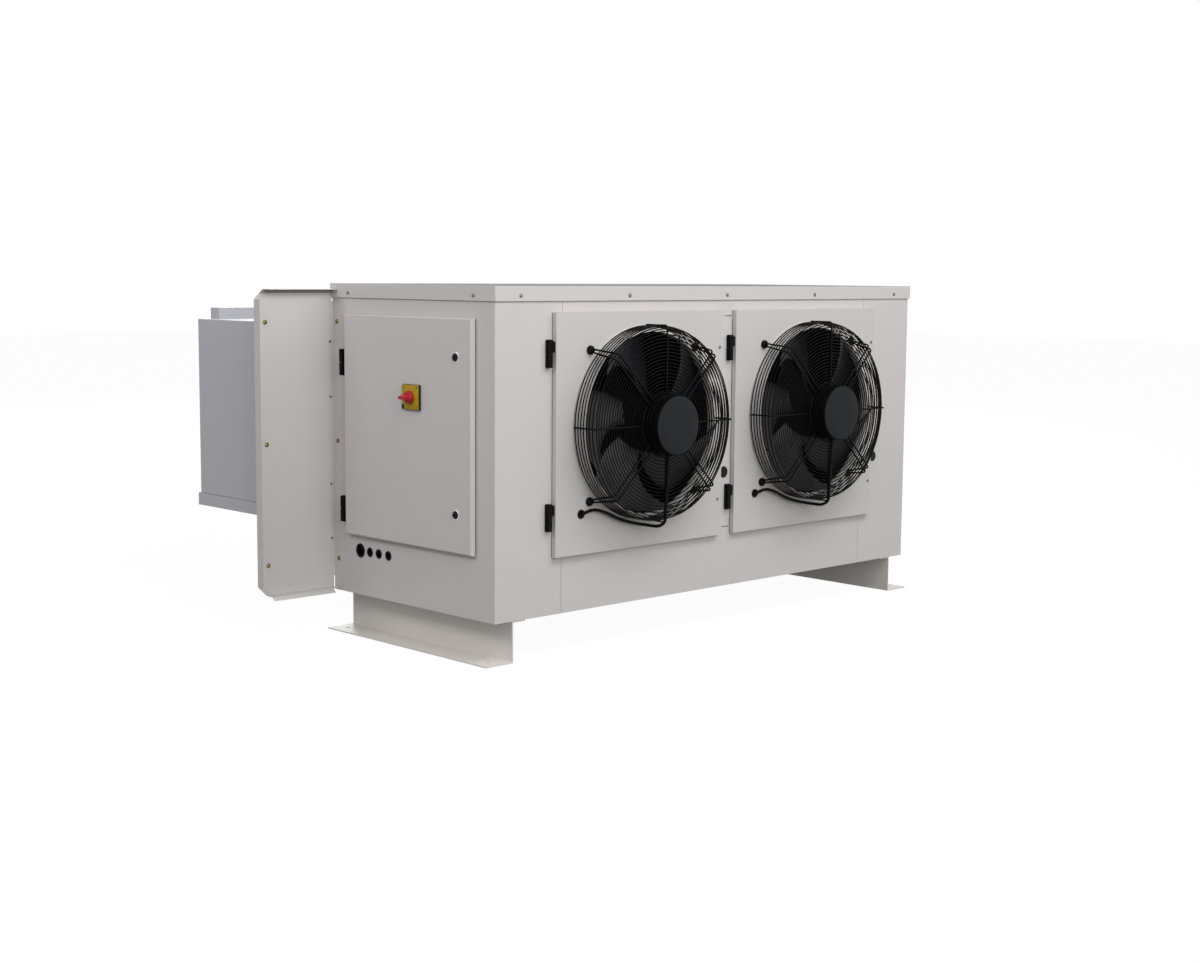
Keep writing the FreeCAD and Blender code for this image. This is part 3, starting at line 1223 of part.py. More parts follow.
def evaporator_fan_panel():
    """Fan panel on the room end: a folded tray with the fans' inlet rings, its top standing above the roof."""
    fan = EVAP_FAN
    x, low, high = FAN_PANEL_HALF_WIDTH, FAN_PANEL_BOTTOM, EVAP_TOP + FAN_PANEL_RISE
    y0, y1 = EVAP_END, EVAP_END + FAN_PANEL_DEPTH
    shell = box(-x, y0, low, x, y1, high)
    shell = shell.cut(box(-x + SHEET, y0, low + SHEET, x - SHEET, y1 - SHEET, high - SHEET))
    lip = box(-x, y0, EVAP_TOP, x, y0 + SHEET, high)
    holes = [on_evaporator_fan(Part.makeCylinder(fan.throat_r + fan.flare, SHEET * 2, V(0, 0, -SHEET * 1.5)), fx)
             for fx in EVAP_FAN_X]
    rings = [on_evaporator_fan(inlet_ring(fan), fx) for fx in EVAP_FAN_X]
    return join([shell.cut(group(holes)), lip] + rings)


def evaporator_coil():
    """Evaporator coil between the wall plug and the fans."""
    y1 = EVAP_END - EVAP_COIL_GAP
    return finned_coil(EVAP_HALF_WIDTH - 90.0, y1 - EVAP_COIL_DEPTH, y1, TRAY_TOP, EVAP_TOP - SHEET, 3)


def drip_tray():
    """Tray under the whole evaporator, made of plates: rim all round, and the drip pan with its drain hole."""
    x = EVAP_HALF_WIDTH + TRAY_PROUD
    y1 = EVAP_END + TRAY_OVERRUN
    pan = y1 - PAN_LENGTH
    low, floor, high = TRAY_BOTTOM, TRAY_BOTTOM + SHEET, TRAY_TOP
    drain = rod(V(0, y1 - PAN_LENGTH / 2, low), V(0, y1 - PAN_LENGTH / 2, floor), DRAIN_R)
    plates = [box(start, WALL, low, start + SHEET, y1, high) for start in (-x, x - SHEET)]
    for start in (WALL, pan - SHEET, y1 - SHEET):
        plates.append(box(-x + SHEET, start, low, x - SHEET, start + SHEET, high))
    plates.append(box(-x + SHEET, pan, low, x - SHEET, y1 - SHEET, floor).cut(drain))
    return group(plates)


def drain_spout():
    """Drain spout through the drip pan, held by its collar inside and a locknut below."""
    y = EVAP_END + TRAY_OVERRUN - PAN_LENGTH / 2
    outer, low = DRAIN_R - DRAIN_GAP, TRAY_BOTTOM - DRAIN_LENGTH
    inner, neck, collar = outer - DRAIN_WALL, outer - DRAIN_RELIEF, DRAIN_R + DRAIN_COLLAR
    nut = TRAY_BOTTOM - DRAIN_NUT_THICK
    relief = nut - DRAIN_RELIEF_LENGTH
    floor = TRAY_BOTTOM + SHEET
    spout = lathe([(inner, low), (outer, low), (outer, relief), (neck, relief), (neck, nut), (collar, nut),
                   (collar, TRAY_BOTTOM), (outer, TRAY_BOTTOM), (outer, floor), (collar, floor),
                   (collar, floor + DRAIN_WALL), (inner, floor + DRAIN_WALL)])
    spout.translate(V(0, y, 0))
    return spout


def return_grille():
    """Return-air grille in the underside, between the wall plug and the drip pan."""
    x = EVAP_HALF_WIDTH + TRAY_PROUD - SHEET
    y0 = WALL + PLUG_THICK
    y1 = EVAP_END + TRAY_OVERRUN - PAN_LENGTH - SHEET
    low, high = TRAY_BOTTOM, TRAY_BOTTOM + SHEET
    plate = box(-x, WALL + SHEET, low, x, y1, high)
    slots = []
    pitch = 2 * (x - GRILLE_MARGIN) / GRILLE_SLOTS
    for n in range(GRILLE_SLOTS):
        start = -x + GRILLE_MARGIN + n * pitch
        slots.append(box(start + pitch * 0.15, y0, low, start + pitch * 0.85, y1 - GRILLE_MARGIN / 4, high))
    return plate.cut(group(slots))


def on_each_evaporator_fan(shape):
    """Separate copies of one shape at the room-side fans."""
    return group([on_evaporator_fan(shape, x) for x in EVAP_FAN_X])


PARTS = {
    "base_tray": base_tray,
    "foot_left": lambda: foot(-1),
    "foot_right": lambda: foot(1),
    "frame_posts": frame_posts,
    "side_panel_left": side_panel_left,
    "side_panel_right": side_panel_right,
    "front_panel": front_panel,
    "closing_plugs": closing_plugs,
    "roof_lid": roof_lid,
    "casing_screws": casing_screws,
    "wall_flange": wall_flange,
    "flange_edge_strip": flange_edge_strip,
    "flange_screws": flange_screws,
    "hinge_bases": hinge_bases,
    "partition": partition,
    "electrical_backplate": electrical_backplate,
    "contactors": contactors,
    "terminal_block": terminal_block,
    "controller": controller,
    "condenser_coil": condenser_coil,
    "coil_shroud": coil_shroud,
    "compressor": compressor,
    "compressor_mounts": compressor_mounts,
    "liquid_receiver": liquid_receiver,
    "filter_drier": filter_drier,
    "refrigerant_lines": refrigerant_lines,
    "expansion_valve": expansion_valve,
    "wall_plug": wall_plug,
    "evaporator_casing": evaporator_casing,
    "evaporator_fan_panel": evaporator_fan_panel,
    "evaporator_coil": evaporator_coil,
    "drip_tray": drip_tray,
    "drain_spout": drain_spout,
    "return_grille": return_grille,
    "evaporator_guards": lambda: on_each_evaporator_fan(wire_guard(EVAP_FAN)),
    "evaporator_motors": lambda: on_each_evaporator_fan(stator(EVAP_FAN)),
    "electrical_door": electrical_door,
    "electrical_door_hinges": electrical_door_hinges,
    "lock_bezels": lock_bezels,
    "door_lock_upper": lambda: door_lock(LOCK_RISE),
    "door_lock_lower": lambda: door_lock(-LOCK_RISE),
    "disconnect_plate": disconnect_plate,
    "disconnect_knob": disconnect_knob,
}
for number, name in enumerate(("left", "right")):
    PARTS["fan_door_" + name] = lambda n=number: fan_door(n)
    PARTS["fan_door_hinges_" + name] = lambda n=number: fan_door_hinges(n)
    PARTS["fan_door_screws_" + name] = lambda n=number: fan_door_screws(n)
    PARTS["fan_guard_" + name] = lambda n=number: on_condenser_fan(wire_guard(CONDENSER_FAN), n)
    PARTS["fan_motor_" + name] = lambda n=number: on_condenser_fan(cable_motor(), n)
    PARTS["fan_impeller_" + name] = lambda n=number: on_condenser_fan(impeller(CONDENSER_FAN), n)
    PARTS["motor_cable_" + name] = lambda n=number: motor_cable(n)
for number, x in enumerate(EVAP_FAN_X):
    PARTS["evaporator_impeller_" + str(number + 1)] = lambda x=x: on_evaporator_fan(impeller(EVAP_FAN), x)

os.makedirs("parts", exist_ok=True)
for node, build in PARTS.items():
    build().exportStep("parts/" + node + ".step")
print(len(PARTS), "parts written")
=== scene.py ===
"""Dresses a wall-mounted monoblock refrigeration unit: its camera, its light, its pieces and their finishes."""

import json
import logging
import math
from collections.abc import Callable, Sequence
from dataclasses import dataclass, field
from enum import Enum

import bpy
from mathutils import Matrix, Vector

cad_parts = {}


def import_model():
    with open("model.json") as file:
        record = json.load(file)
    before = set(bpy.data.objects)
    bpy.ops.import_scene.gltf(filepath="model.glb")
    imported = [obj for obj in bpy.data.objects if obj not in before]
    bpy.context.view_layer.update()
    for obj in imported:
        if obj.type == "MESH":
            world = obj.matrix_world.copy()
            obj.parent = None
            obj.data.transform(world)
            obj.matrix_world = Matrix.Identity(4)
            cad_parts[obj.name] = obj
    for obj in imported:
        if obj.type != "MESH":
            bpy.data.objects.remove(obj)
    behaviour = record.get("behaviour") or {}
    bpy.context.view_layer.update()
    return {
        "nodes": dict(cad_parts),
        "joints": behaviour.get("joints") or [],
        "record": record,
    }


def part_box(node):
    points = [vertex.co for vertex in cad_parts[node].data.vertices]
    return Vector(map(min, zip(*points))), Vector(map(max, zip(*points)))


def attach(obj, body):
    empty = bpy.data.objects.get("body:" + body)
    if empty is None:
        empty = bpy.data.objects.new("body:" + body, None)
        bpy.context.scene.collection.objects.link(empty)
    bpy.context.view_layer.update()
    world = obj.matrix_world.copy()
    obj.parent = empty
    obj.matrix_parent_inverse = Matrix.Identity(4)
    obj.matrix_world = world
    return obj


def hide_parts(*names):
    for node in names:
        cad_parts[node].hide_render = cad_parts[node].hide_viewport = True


LOG = logging.getLogger("refrigeration_unit")
MM = 0.001  # a millimetre in metres
WELD = 0.02 * MM  # a smaller distance than this in a part counts as none
SHARP = math.radians(32.0)  # edges whose faces meet at a larger angle stay sharp


def linear(code: str) -> tuple[float, float, float, float]:
    """Turns an sRGB colour into linear light.

    Args:
        code: Six hexadecimal digits, red first.

    Returns:
        Red, green, blue and a full alpha.
    """
    parts = [int(code[n:n + 2], 16) / 255 for n in (0, 2, 4)]
    light = [p / 12.92 if p <= 0.04045 else ((p + 0.055) / 1.055) ** 2.4 for p in parts]
    return light[0], light[1], light[2], 1.0


def neutral(level: float) -> tuple[float, float, float, float]:
    """An opaque grey of this level in linear light."""
    return level, level, level, 1.0


def add_node(tree: bpy.types.NodeTree, kind: str, settings: dict | None = None,
             links: dict | None = None) -> bpy.types.Node:
    """Adds one shader node.

    Args:
        tree: The node tree that gets it.
        kind: The node's type name.
        settings: Values for its sockets or its own settings, by name.
        links: Output sockets that feed its inputs, by input name or number.

    Returns:
        The new node.
    """
    node = tree.nodes.new(kind)
    for key, value in (settings or {}).items():
        if isinstance(key, int) or key in node.inputs:
            node.inputs[key].default_value = value
        else:
            setattr(node, key, value)
    for key, source in (links or {}).items():
        tree.links.new(source, node.inputs[key])
    return node


@dataclass(frozen=True)
class Finish:
    """A surface finish; each kind adds its own pattern to the shader's colour, roughness and bump.

    Attributes:
        name: The finish's name.
        slot: The record's material slot that it belongs to; nothing in this script reads it.
        colour: Its sRGB colour.
        roughness: Its mean roughness.
    """

    name: str
    slot: str
    colour: str
    roughness: float

    def pattern(self, tree: bpy.types.NodeTree, shader: bpy.types.Node, place: bpy.types.NodeSocket) -> None:
        """Adds the finish's own pattern. The plain finish has none."""

    def vary(self, tree: bpy.types.NodeTree, shader: bpy.types.Node, tint: bpy.types.NodeSocket,
             sheen: bpy.types.NodeSocket, shade: float, smoother: float, rougher: float) -> None:
        """Lets colour and roughness follow two values.

        Args:
            tree: The material's node tree.
            shader: Its principled shader.
            tint: The value that the colour follows, dark at 0.
            sheen: The value that the roughness follows, smooth at 0.
            shade: How much darker the dark patches are, from 0 to 1.
            smoother: How much smoother than the mean the smooth patches are.
            rougher: How much rougher than the mean the rough patches are.
        """
        dark = tuple(c * (1 - shade) for c in linear(self.colour)[:3]) + (1.0,)
        mix = add_node(tree, "ShaderNodeMix", {"data_type": "RGBA", 6: dark, 7: linear(self.colour)}, {0: tint})
        tree.links.new(mix.outputs[2], shader.inputs["Base Color"])
        rough = add_node(tree, "ShaderNodeMapRange",
                         {"To Min": self.roughness - smoother, "To Max": self.roughness + rougher}, {"Value": sheen})
        tree.links.new(rough.outputs["Result"], shader.inputs["Roughness"])

    def mottle(self, tree: bpy.types.NodeTree, shader: bpy.types.Node, place: bpy.types.NodeSocket,
               size: float, shade: float, spread: float) -> None:
        """Varies colour and roughness slowly over the surface.

        Args:
            tree: The material's node tree.
            shader: Its principled shader.
            place: The coordinates to read.
            size: Size of a patch in metres.
            shade: How much darker the dark patches are, from 0 to 1.
            spread: How much rougher the rough patches are than the smooth ones.
        """
        noise = add_node(tree, "ShaderNodeTexNoise", {"Scale": 1 / size, "Detail": 4.0, "Roughness": 0.55},
                         {"Vector": place}).outputs["Fac"]
        self.vary(tree, shader, noise, noise, shade, spread / 2, spread / 2)

    def relief(self, tree: bpy.types.NodeTree, shader: bpy.types.Node, height: bpy.types.NodeSocket,
               strength: float, distance: float) -> None:
        """Bumps the surface.

        Args:
            tree: The material's node tree.
            shader: Its principled shader.
            height: The height to read.
            strength: Strength of the bump.
            distance: Depth of the bump in metres.
        """
        bump = add_node(tree, "ShaderNodeBump", {"Strength": strength, "Distance": distance}, {"Height": height})
        tree.links.new(bump.outputs["Normal"], shader.inputs["Normal"])

    def material(self) -> bpy.types.Material:
        """Builds the material, or finds it where it has been built.

        Returns:
            The material.
        """
        made = bpy.data.materials.get(self.name)
        if made:
            return made
        made = bpy.data.materials.new(self.name)
        made.use_nodes = True
        tree = made.node_tree
        shader = tree.nodes["Principled BSDF"]
        shader.inputs["Base Color"].default_value = linear(self.colour)
        shader.inputs["Roughness"].default_value = self.roughness
        place = add_node(tree, "ShaderNodeTexCoord").outputs["Object"]
        self.pattern(tree, shader, place)
        return made


@dataclass(frozen=True)
class PowderCoat(Finish):
    """Polyester powder coat baked on sheet steel: an even satin colour with a faint orange peel.

    Attributes:
        peel: Size of the dimples of the peel in metres.
        shade: How much darker its dark patches are, from 0 to 1.
        shine: Strength of its reflections.
    """

    peel: float = 3.0 * MM
    shade: float = 0.035
    shine: float = 0.5

    def pattern(self, tree: bpy.types.NodeTree, shader: bpy.types.Node, place: bpy.types.NodeSocket) -> None:
        """Adds slow patches of shade and the peel, drawn at 3 mm where the real one is nearer 2 mm.

        Args:
            tree: The material's node tree.
            shader: Its principled shader.
            place: The coordinates to read.
        """
        shader.inputs["IOR"].default_value = 1.5
        shader.inputs["Specular IOR Level"].default_value = self.shine
        self.mottle(tree, shader, place, size=0.22, shade=self.shade, spread=0.08)
        peel = add_node(tree, "ShaderNodeTexNoise", {"Scale": 1 / self.peel, "Detail": 2.0}, {"Vector": place})
        self.relief(tree, shader, peel.outputs["Fac"], strength=0.12, distance=0.0002)


@dataclass(frozen=True)
class Lacquer(Finish):
    """Cataphoretic or powder lacquer on wire and pressed steel: smooth, with a soft gloss on its curves.

    Attributes:
        coat: Weight of the clear gloss.
        shine: Strength of its reflections.
    """

    coat: float = 0.25
    shine: float = 0.3

    def pattern(self, tree: bpy.types.NodeTree, shader: bpy.types.Node, place: bpy.types.NodeSocket) -> None:
        """Adds faint patches, a fine grit and the clear gloss.

        Args:
            tree: The material's node tree.
            shader: Its principled shader.
            place: The coordinates to read.
        """
        shader.inputs["Specular IOR Level"].default_value = self.shine
        shader.inputs["Coat Weight"].default_value = self.coat
        shader.inputs["Coat Roughness"].default_value = 0.25
        self.mottle(tree, shader, place, size=0.03, shade=0.18, spread=0.1)
        grit = add_node(tree, "ShaderNodeTexNoise", {"Scale": 1 / (1.2 * MM), "Detail": 2.0}, {"Vector": place})
        self.relief(tree, shader, grit.outputs["Fac"], strength=0.1, distance=0.0001)


@dataclass(frozen=True)
class MouldedPlastic(Finish):
    """Injection-moulded plastic with a fine eroded grain from its mould.

    Attributes:
        grain: Size of the grain in metres.
        depth: Strength of its bump.
        shine: Strength of its reflections.
    """

    grain: float = 0.9 * MM
    depth: float = 0.15
    shine: float = 0.5

    def pattern(self, tree: bpy.types.NodeTree, shader: bpy.types.Node, place: bpy.types.NodeSocket) -> None:
        """Adds the grain and slight patches of sheen.

        Args:
            tree: The material's node tree.
            shader: Its principled shader.
            place: The coordinates to read.
        """
        shader.inputs["IOR"].default_value = 1.46
        shader.inputs["Specular IOR Level"].default_value = self.shine
        self.mottle(tree, shader, place, size=0.012, shade=0.12, spread=0.12)
        grain = add_node(tree, "ShaderNodeTexVoronoi", {"Scale": 1 / self.grain}, {"Vector": place})
        self.relief(tree, shader, grain.outputs["Distance"], self.depth, distance=0.0001)


@dataclass(frozen=True)
class Rubber(Finish):
    """Moulded EPDM rubber: matt, faintly dusty, with no gloss.

    Attributes:
        shine: Strength of its reflections.
    """

    shine: float = 0.2

    def pattern(self, tree: bpy.types.NodeTree, shader: bpy.types.Node, place: bpy.types.NodeSocket) -> None:
        """Adds the dusty patches and a soft grain.

        Args:
            tree: The material's node tree.
            shader: Its principled shader.
            place: The coordinates to read.
        """
        shader.inputs["IOR"].default_value = 1.52
        shader.inputs["Specular IOR Level"].default_value = self.shine
        self.mottle(tree, shader, place, size=0.008, shade=0.2, spread=0.1)
        grain = add_node(tree, "ShaderNodeTexNoise", {"Scale": 1 / (0.8 * MM), "Detail": 3.0}, {"Vector": place})
        self.relief(tree, shader, grain.outputs["Fac"], strength=0.15, distance=0.0001)


@dataclass(frozen=True)
class BareMetal(Finish):
    """Bare or plated metal: drawn, rolled or turned, so that its fine lines run one way.

    Attributes:
        lines: How often the lines cross each axis, as shares of their full number.
        depth: Strength of their bump.
    """

    lines: tuple[float, float, float] = (1.0, 1.0, 0.05)
    depth: float = 0.1

    def pattern(self, tree: bpy.types.NodeTree, shader: bpy.types.Node, place: bpy.types.NodeSocket) -> None:
        """Adds the lines, 0.5 mm apart, and patches of tarnish.

        Args:
            tree: The material's node tree.
            shader: Its principled shader.
            place: The coordinates to read.
        """
        shader.inputs["Metallic"].default_value = 1.0
        self.mottle(tree, shader, place, size=0.02, shade=0.15, spread=0.12)
        stretched = add_node(tree, "ShaderNodeMapping", {"Scale": self.lines}, {"Vector": place})
        lines = add_node(tree, "ShaderNodeTexNoise", {"Scale": 1 / (0.5 * MM), "Detail": 2.0},
                         {"Vector": stretched.outputs["Vector"]})
        self.relief(tree, shader, lines.outputs["Fac"], self.depth, distance=0.0001)


@dataclass(frozen=True)
class Galvanised(Finish):
    """Hot-dip galvanised sheet: grey zinc with spangle about 8 mm across."""

    def pattern(self, tree: bpy.types.NodeTree, shader: bpy.types.Node, place: bpy.types.NodeSocket) -> None:
        """Adds the spangle as cells of slightly different grey and sheen.

        Args:
            tree: The material's node tree.
            shader: Its principled shader.
            place: The coordinates to read.
        """
        shader.inputs["Metallic"].default_value = 1.0
        cells = add_node(tree, "ShaderNodeTexVoronoi", {"Scale": 1 / (8 * MM)}, {"Vector": place})
        grey = add_node(tree, "ShaderNodeSeparateColor", None, {"Color": cells.outputs["Color"]})
        self.vary(tree, shader, grey.outputs["Red"], grey.outputs["Green"], shade=0.25, smoother=0.08, rougher=0.1)


@dataclass(frozen=True)
class Foam(Finish):
    """Rigid polyurethane foam: pale, matt and finely cellular."""

    def pattern(self, tree: bpy.types.NodeTree, shader: bpy.types.Node, place: bpy.types.NodeSocket) -> None:
        """Adds cells, drawn at 3 mm.

        Args:
            tree: The material's node tree.
            shader: Its principled shader.
            place: The coordinates to read.
        """
        self.mottle(tree, shader, place, size=0.05, shade=0.12, spread=0.05)
        cells = add_node(tree, "ShaderNodeTexVoronoi", {"Scale": 1 / (3 * MM)}, {"Vector": place})
        self.relief(tree, shader, cells.outputs["Distance"], strength=0.4, distance=0.0006)


CABINET = PowderCoat("cabinet_powder_coat", "body_paint", "CCC8C7", roughness=0.42)
DOOR = PowderCoat("door_powder_coat", "body_paint", "C7C5C4", roughness=0.42)
# The feet are the cabinet's paint made lighter: painted light for the light from above on their flanges.
FOOT_LIT = PowderCoat("foot_powder_coat", "body_paint", "DBD7D1", roughness=0.45)
# The lid's top is a darker, duller grey than the cabinet: painted shade for the dark surroundings its flat top mirrors
# at a grazing view.
LID_TOP_SHADE = PowderCoat("dusty_lid_powder_coat", "body_paint", "A3A2A1", roughness=0.95, shine=0.0)
# The flange is the cabinet's paint made a shade darker: painted shade for the casing that keeps the lamps off it.
FLANGE_SHADED = PowderCoat("flange_powder_coat", "flange_paint", "C5C2BF", roughness=0.45)
COOLER = PowderCoat("cooler_powder_coat", "evaporator_paint", "B8B8BE", roughness=0.42)
WIRE = Lacquer("guard_wire_lacquer", "black_wire", "030303", roughness=0.5, coat=0.0, shine=0.08)
MOTOR = Lacquer("motor_black_lacquer", "motor_black", "020202", roughness=0.6, coat=0.0, shine=0.06)
MOTOR_CAP = Lacquer("motor_cap_lacquer", "motor_black", "222324", roughness=0.6, coat=0.0, shine=0.1)
BLADE = Lacquer("blade_black_lacquer", "impeller_black", "1A1A1E", roughness=0.36, coat=0.08, shine=0.32)
HINGE = MouldedPlastic("hinge_polyamide", "black_plastic", "050506", roughness=0.5, shine=0.1)
SWITCHGEAR = MouldedPlastic("switchgear_polycarbonate", "grey_plastic", "9A9C9D", roughness=0.45)
DARK_PLASTIC = MouldedPlastic("dark_polyamide", "black_plastic", "0E0F10", roughness=0.45, shine=0.25)
YELLOW = MouldedPlastic("switch_plate_yellow", "yellow_plastic", "B4930F", roughness=0.4, depth=0.05, shine=0.25)
RED = MouldedPlastic("switch_knob_red", "red_plastic", "AC1221", roughness=0.34, depth=0.04, shine=0.3)
RUBBER = Rubber("epdm_rubber", "black_rubber", "0A0A0B", roughness=0.6)
SHEATH = Rubber("cable_sheath", "cable_black", "040404", roughness=0.5, shine=0.06)
# The strip along the flange's top edge is a painted shadow: a grey band where the top return shades the plate below it.
FLANGE_SHADOW_STRIP = Rubber("flange_sealing_strip", "dark_strip", "9E9790", roughness=0.8)
ZINC = BareMetal("yellow_zinc_plate", "zinc", "857A52", roughness=0.4)
STEEL = BareMetal("bright_zinc_plate", "zinc", "7E7D7B", roughness=0.35)
CHROME = BareMetal("polished_chrome", "chrome", "BDBDBE", roughness=0.16, depth=0.02)
LOCK_METAL = BareMetal("dark_zinc_casting", "lock_insert", "1E1E1F", roughness=0.4)
GALVANISED = Galvanised("galvanised_sheet", "galvanised", "B4B6B8", roughness=0.42)
# The fins are nearly black, far darker than bare aluminium: painted shade for the dark inside of the unit behind the
# fans.
FINS = BareMetal("coated_fin_stock", "fin_aluminium", "141516", roughness=0.6, lines=(1.0, 1.0, 0.1))
IRON = Lacquer("compressor_paint", "compressor_paint", "303336", roughness=0.5, coat=0.1)
DRIER = Lacquer("drier_paint", "drier_paint", "39475A", roughness=0.4)
COPPER = BareMetal("drawn_copper", "copper", "C07A52", roughness=0.3)
BRASS = BareMetal("turned_brass", "brass", "C0A05A", roughness=0.3)
FOAM = Foam("insulating_foam", "insulation", "DDD5BE", roughness=0.85)
FLEECE = Foam("filter_fleece", "black_rubber", "121213", roughness=0.95)


class Facing(Enum):
    """Which way the local Z axis of a group of pieces points on the unit."""

    FRONT = ((1, 0, 0), (0, 0, 1), (0, -1, 0))
    ROOM = ((-1, 0, 0), (0, 0, 1), (0, 1, 0))
    LEFT = ((0, -1, 0), (0, 0, 1), (-1, 0, 0))
    RIGHT = ((0, 1, 0), (0, 0, 1), (1, 0, 0))


@dataclass(frozen=True)
class Station:
    """Where a group of pieces sits and which way it faces.

    Attributes:
        x: Place of its origin across the unit, in metres.
        y: Its place from front to back.
        z: Its height.
        facing: The way that it faces.
    """

    x: float
    y: float
    z: float
    facing: Facing

    def matrix(self) -> Matrix:
        """The turn and shift from the group's own frame to the unit's.

        Returns:
            The matrix.
        """
        across, up, out = (Vector(axis) for axis in self.facing.value)
        turn = Matrix((across, up, out)).transposed().to_4x4()
        return Matrix.Translation((self.x, self.y, self.z)) @ turn


def deselect() -> None:
    """Leaves edit mode and deselects every object."""
    if bpy.context.object and bpy.context.object.mode != "OBJECT":
        bpy.ops.object.mode_set(mode="OBJECT")
    bpy.ops.object.select_all(action="DESELECT")


def select(*pieces: bpy.types.Object) -> None:
    """Selects these pieces alone and makes the first one active.

    Args:
        pieces: The pieces to select.
    """
    deselect()
    for piece in pieces:
        piece.select_set(True)
    bpy.context.view_layer.objects.active = pieces[0]


def edit(piece: bpy.types.Object, mode: str = "VERT", action: str = "SELECT") -> None:
    """Enters edit mode on one piece.

    Args:
        piece: The piece to edit.
        mode: Vertex, edge or face select mode.
        action: Whether everything starts selected or deselected.
    """
    select(piece)
    bpy.ops.object.mode_set(mode="EDIT")
    bpy.ops.mesh.select_mode(type=mode)
    bpy.ops.mesh.select_all(action=action)


def settle(name: str) -> bpy.types.Object:
    """Names the active object, leaves edit mode and brings the object to the origin with its place in its mesh.

    Args:
        name: The name to give.

    Returns:
        The object.
    """
    piece = bpy.context.object
    if piece.mode != "OBJECT":
        bpy.ops.object.mode_set(mode="OBJECT")
    piece.name = name
    bpy.ops.object.transform_apply(location=True, rotation=True, scale=True)
    return piece


def pick(piece: bpy.types.Object, mode: str, wanted: Callable) -> None:
    """Enters edit mode on one piece with only the wanted elements selected.

    Args:
        piece: The piece to edit.
        mode: Vertex, edge or face select mode.
        wanted: Says of an element whether it is wanted.
    """
    edit(piece, mode, "DESELECT")
    bpy.ops.object.mode_set(mode="OBJECT")
    mesh = piece.data
    for element in {"VERT": mesh.vertices, "EDGE": mesh.edges, "FACE": mesh.polygons}[mode]:
        element.select = wanted(element)
    bpy.ops.object.mode_set(mode="EDIT")


def modify(piece: bpy.types.Object, kind: str, settings: dict) -> None:
    """Adds one modifier and applies it.

    Args:
        piece: The piece to change.
        kind: The modifier's type.
        settings: Its settings by name.
    """
    select(piece)
    modifier = piece.modifiers.new(kind.lower(), kind)
    for key, value in settings.items():
        setattr(modifier, key, value)
    bpy.ops.object.modifier_apply(modifier=modifier.name)


def discard(*pieces: bpy.types.Object) -> None:
    """Removes pieces that only served to make others."""
    for piece in pieces:
        bpy.data.objects.remove(piece)


def cut(piece: bpy.types.Object, cutter: bpy.types.Object) -> None:
    """Takes the form of a cutter away from a piece and removes the cutter.

    Args:
        piece: The piece to cut.
        cutter: The piece that cuts it.
    """
    modify(piece, "BOOLEAN", {"object": cutter, "operation": "DIFFERENCE", "solver": "EXACT"})
    discard(cutter)


def about_z(degrees: float) -> Matrix:
    """A turn about Z."""
    return Matrix.Rotation(math.radians(degrees), 4, "Z")


def block(name: str, low: Sequence[float], high: Sequence[float], bevel: float = 0.0,
          segments: int = 2) -> bpy.types.Object:
    """A block with rounded edges.

    Args:
        name: The piece's name.
        low: Its lowest corner.
        high: Its highest corner.
        bevel: Width of the rounding.
        segments: Steps in the rounding.

    Returns:
        The block.
    """
    deselect()
    centre = [(a + b) / 2 for a, b in zip(low, high)]
    bpy.ops.mesh.primitive_cube_add(size=1.0, location=centre)
    bpy.context.object.scale = [abs(b - a) for a, b in zip(low, high)]
    piece = settle(name)
    if bevel:
        modify(piece, "BEVEL", {"width": bevel, "segments": segments})
    return piece


def turned(name: str, profile: Sequence[tuple[float, float]], segments: int = 64,
           closed: bool = False) -> bpy.types.Object:
    """A turned form about Z: a circle pushed and scaled from one step of its profile to the next.

    Args:
        name: The piece's name.
        profile: Radius and height of each step.
        segments: Sides of the circle.
        closed: Whether the last step joins the first, as on a ring, instead of being capped.

    Returns:
        The turned piece.
    """
    deselect()
    radius, height = profile[0]
    bpy.ops.mesh.primitive_circle_add(vertices=segments, radius=radius, fill_type="NOTHING", location=(0, 0, height))
    settle(name)
    bpy.ops.object.mode_set(mode="EDIT")
    bpy.ops.mesh.select_mode(type="EDGE")
    bpy.ops.mesh.select_all(action="SELECT")
    for next_radius, next_height in profile[1:]:
        bpy.ops.mesh.extrude_region_move(TRANSFORM_OT_translate={"value": (0, 0, next_height - height)})
        share = next_radius / radius
        bpy.ops.transform.resize(value=(share, share, 1.0), center_override=(0, 0, next_height))
        radius, height = next_radius, next_height
    bpy.ops.mesh.select_all(action="DESELECT")
    bpy.ops.mesh.select_non_manifold()
    if closed:
        bpy.ops.mesh.bridge_edge_loops()
    else:
        bpy.ops.mesh.fill_holes(sides=0)
    bpy.ops.mesh.select_all(action="SELECT")
    bpy.ops.mesh.remove_doubles(threshold=1e-6)
    bpy.ops.mesh.normals_make_consistent(inside=False)
    return settle(name)


def hoop(radius: float, height: float, wire: float) -> bpy.types.Object:
    """A welded ring of round wire about Z.

    Args:
        radius: Its mean radius.
        height: Its height.
        wire: The wire's radius.

    Returns:
        The ring.
    """
    deselect()
    bpy.ops.mesh.primitive_torus_add(major_radius=radius, minor_radius=wire, major_segments=96, minor_segments=6,
                                     location=(0, 0, height))
    return settle("hoop")


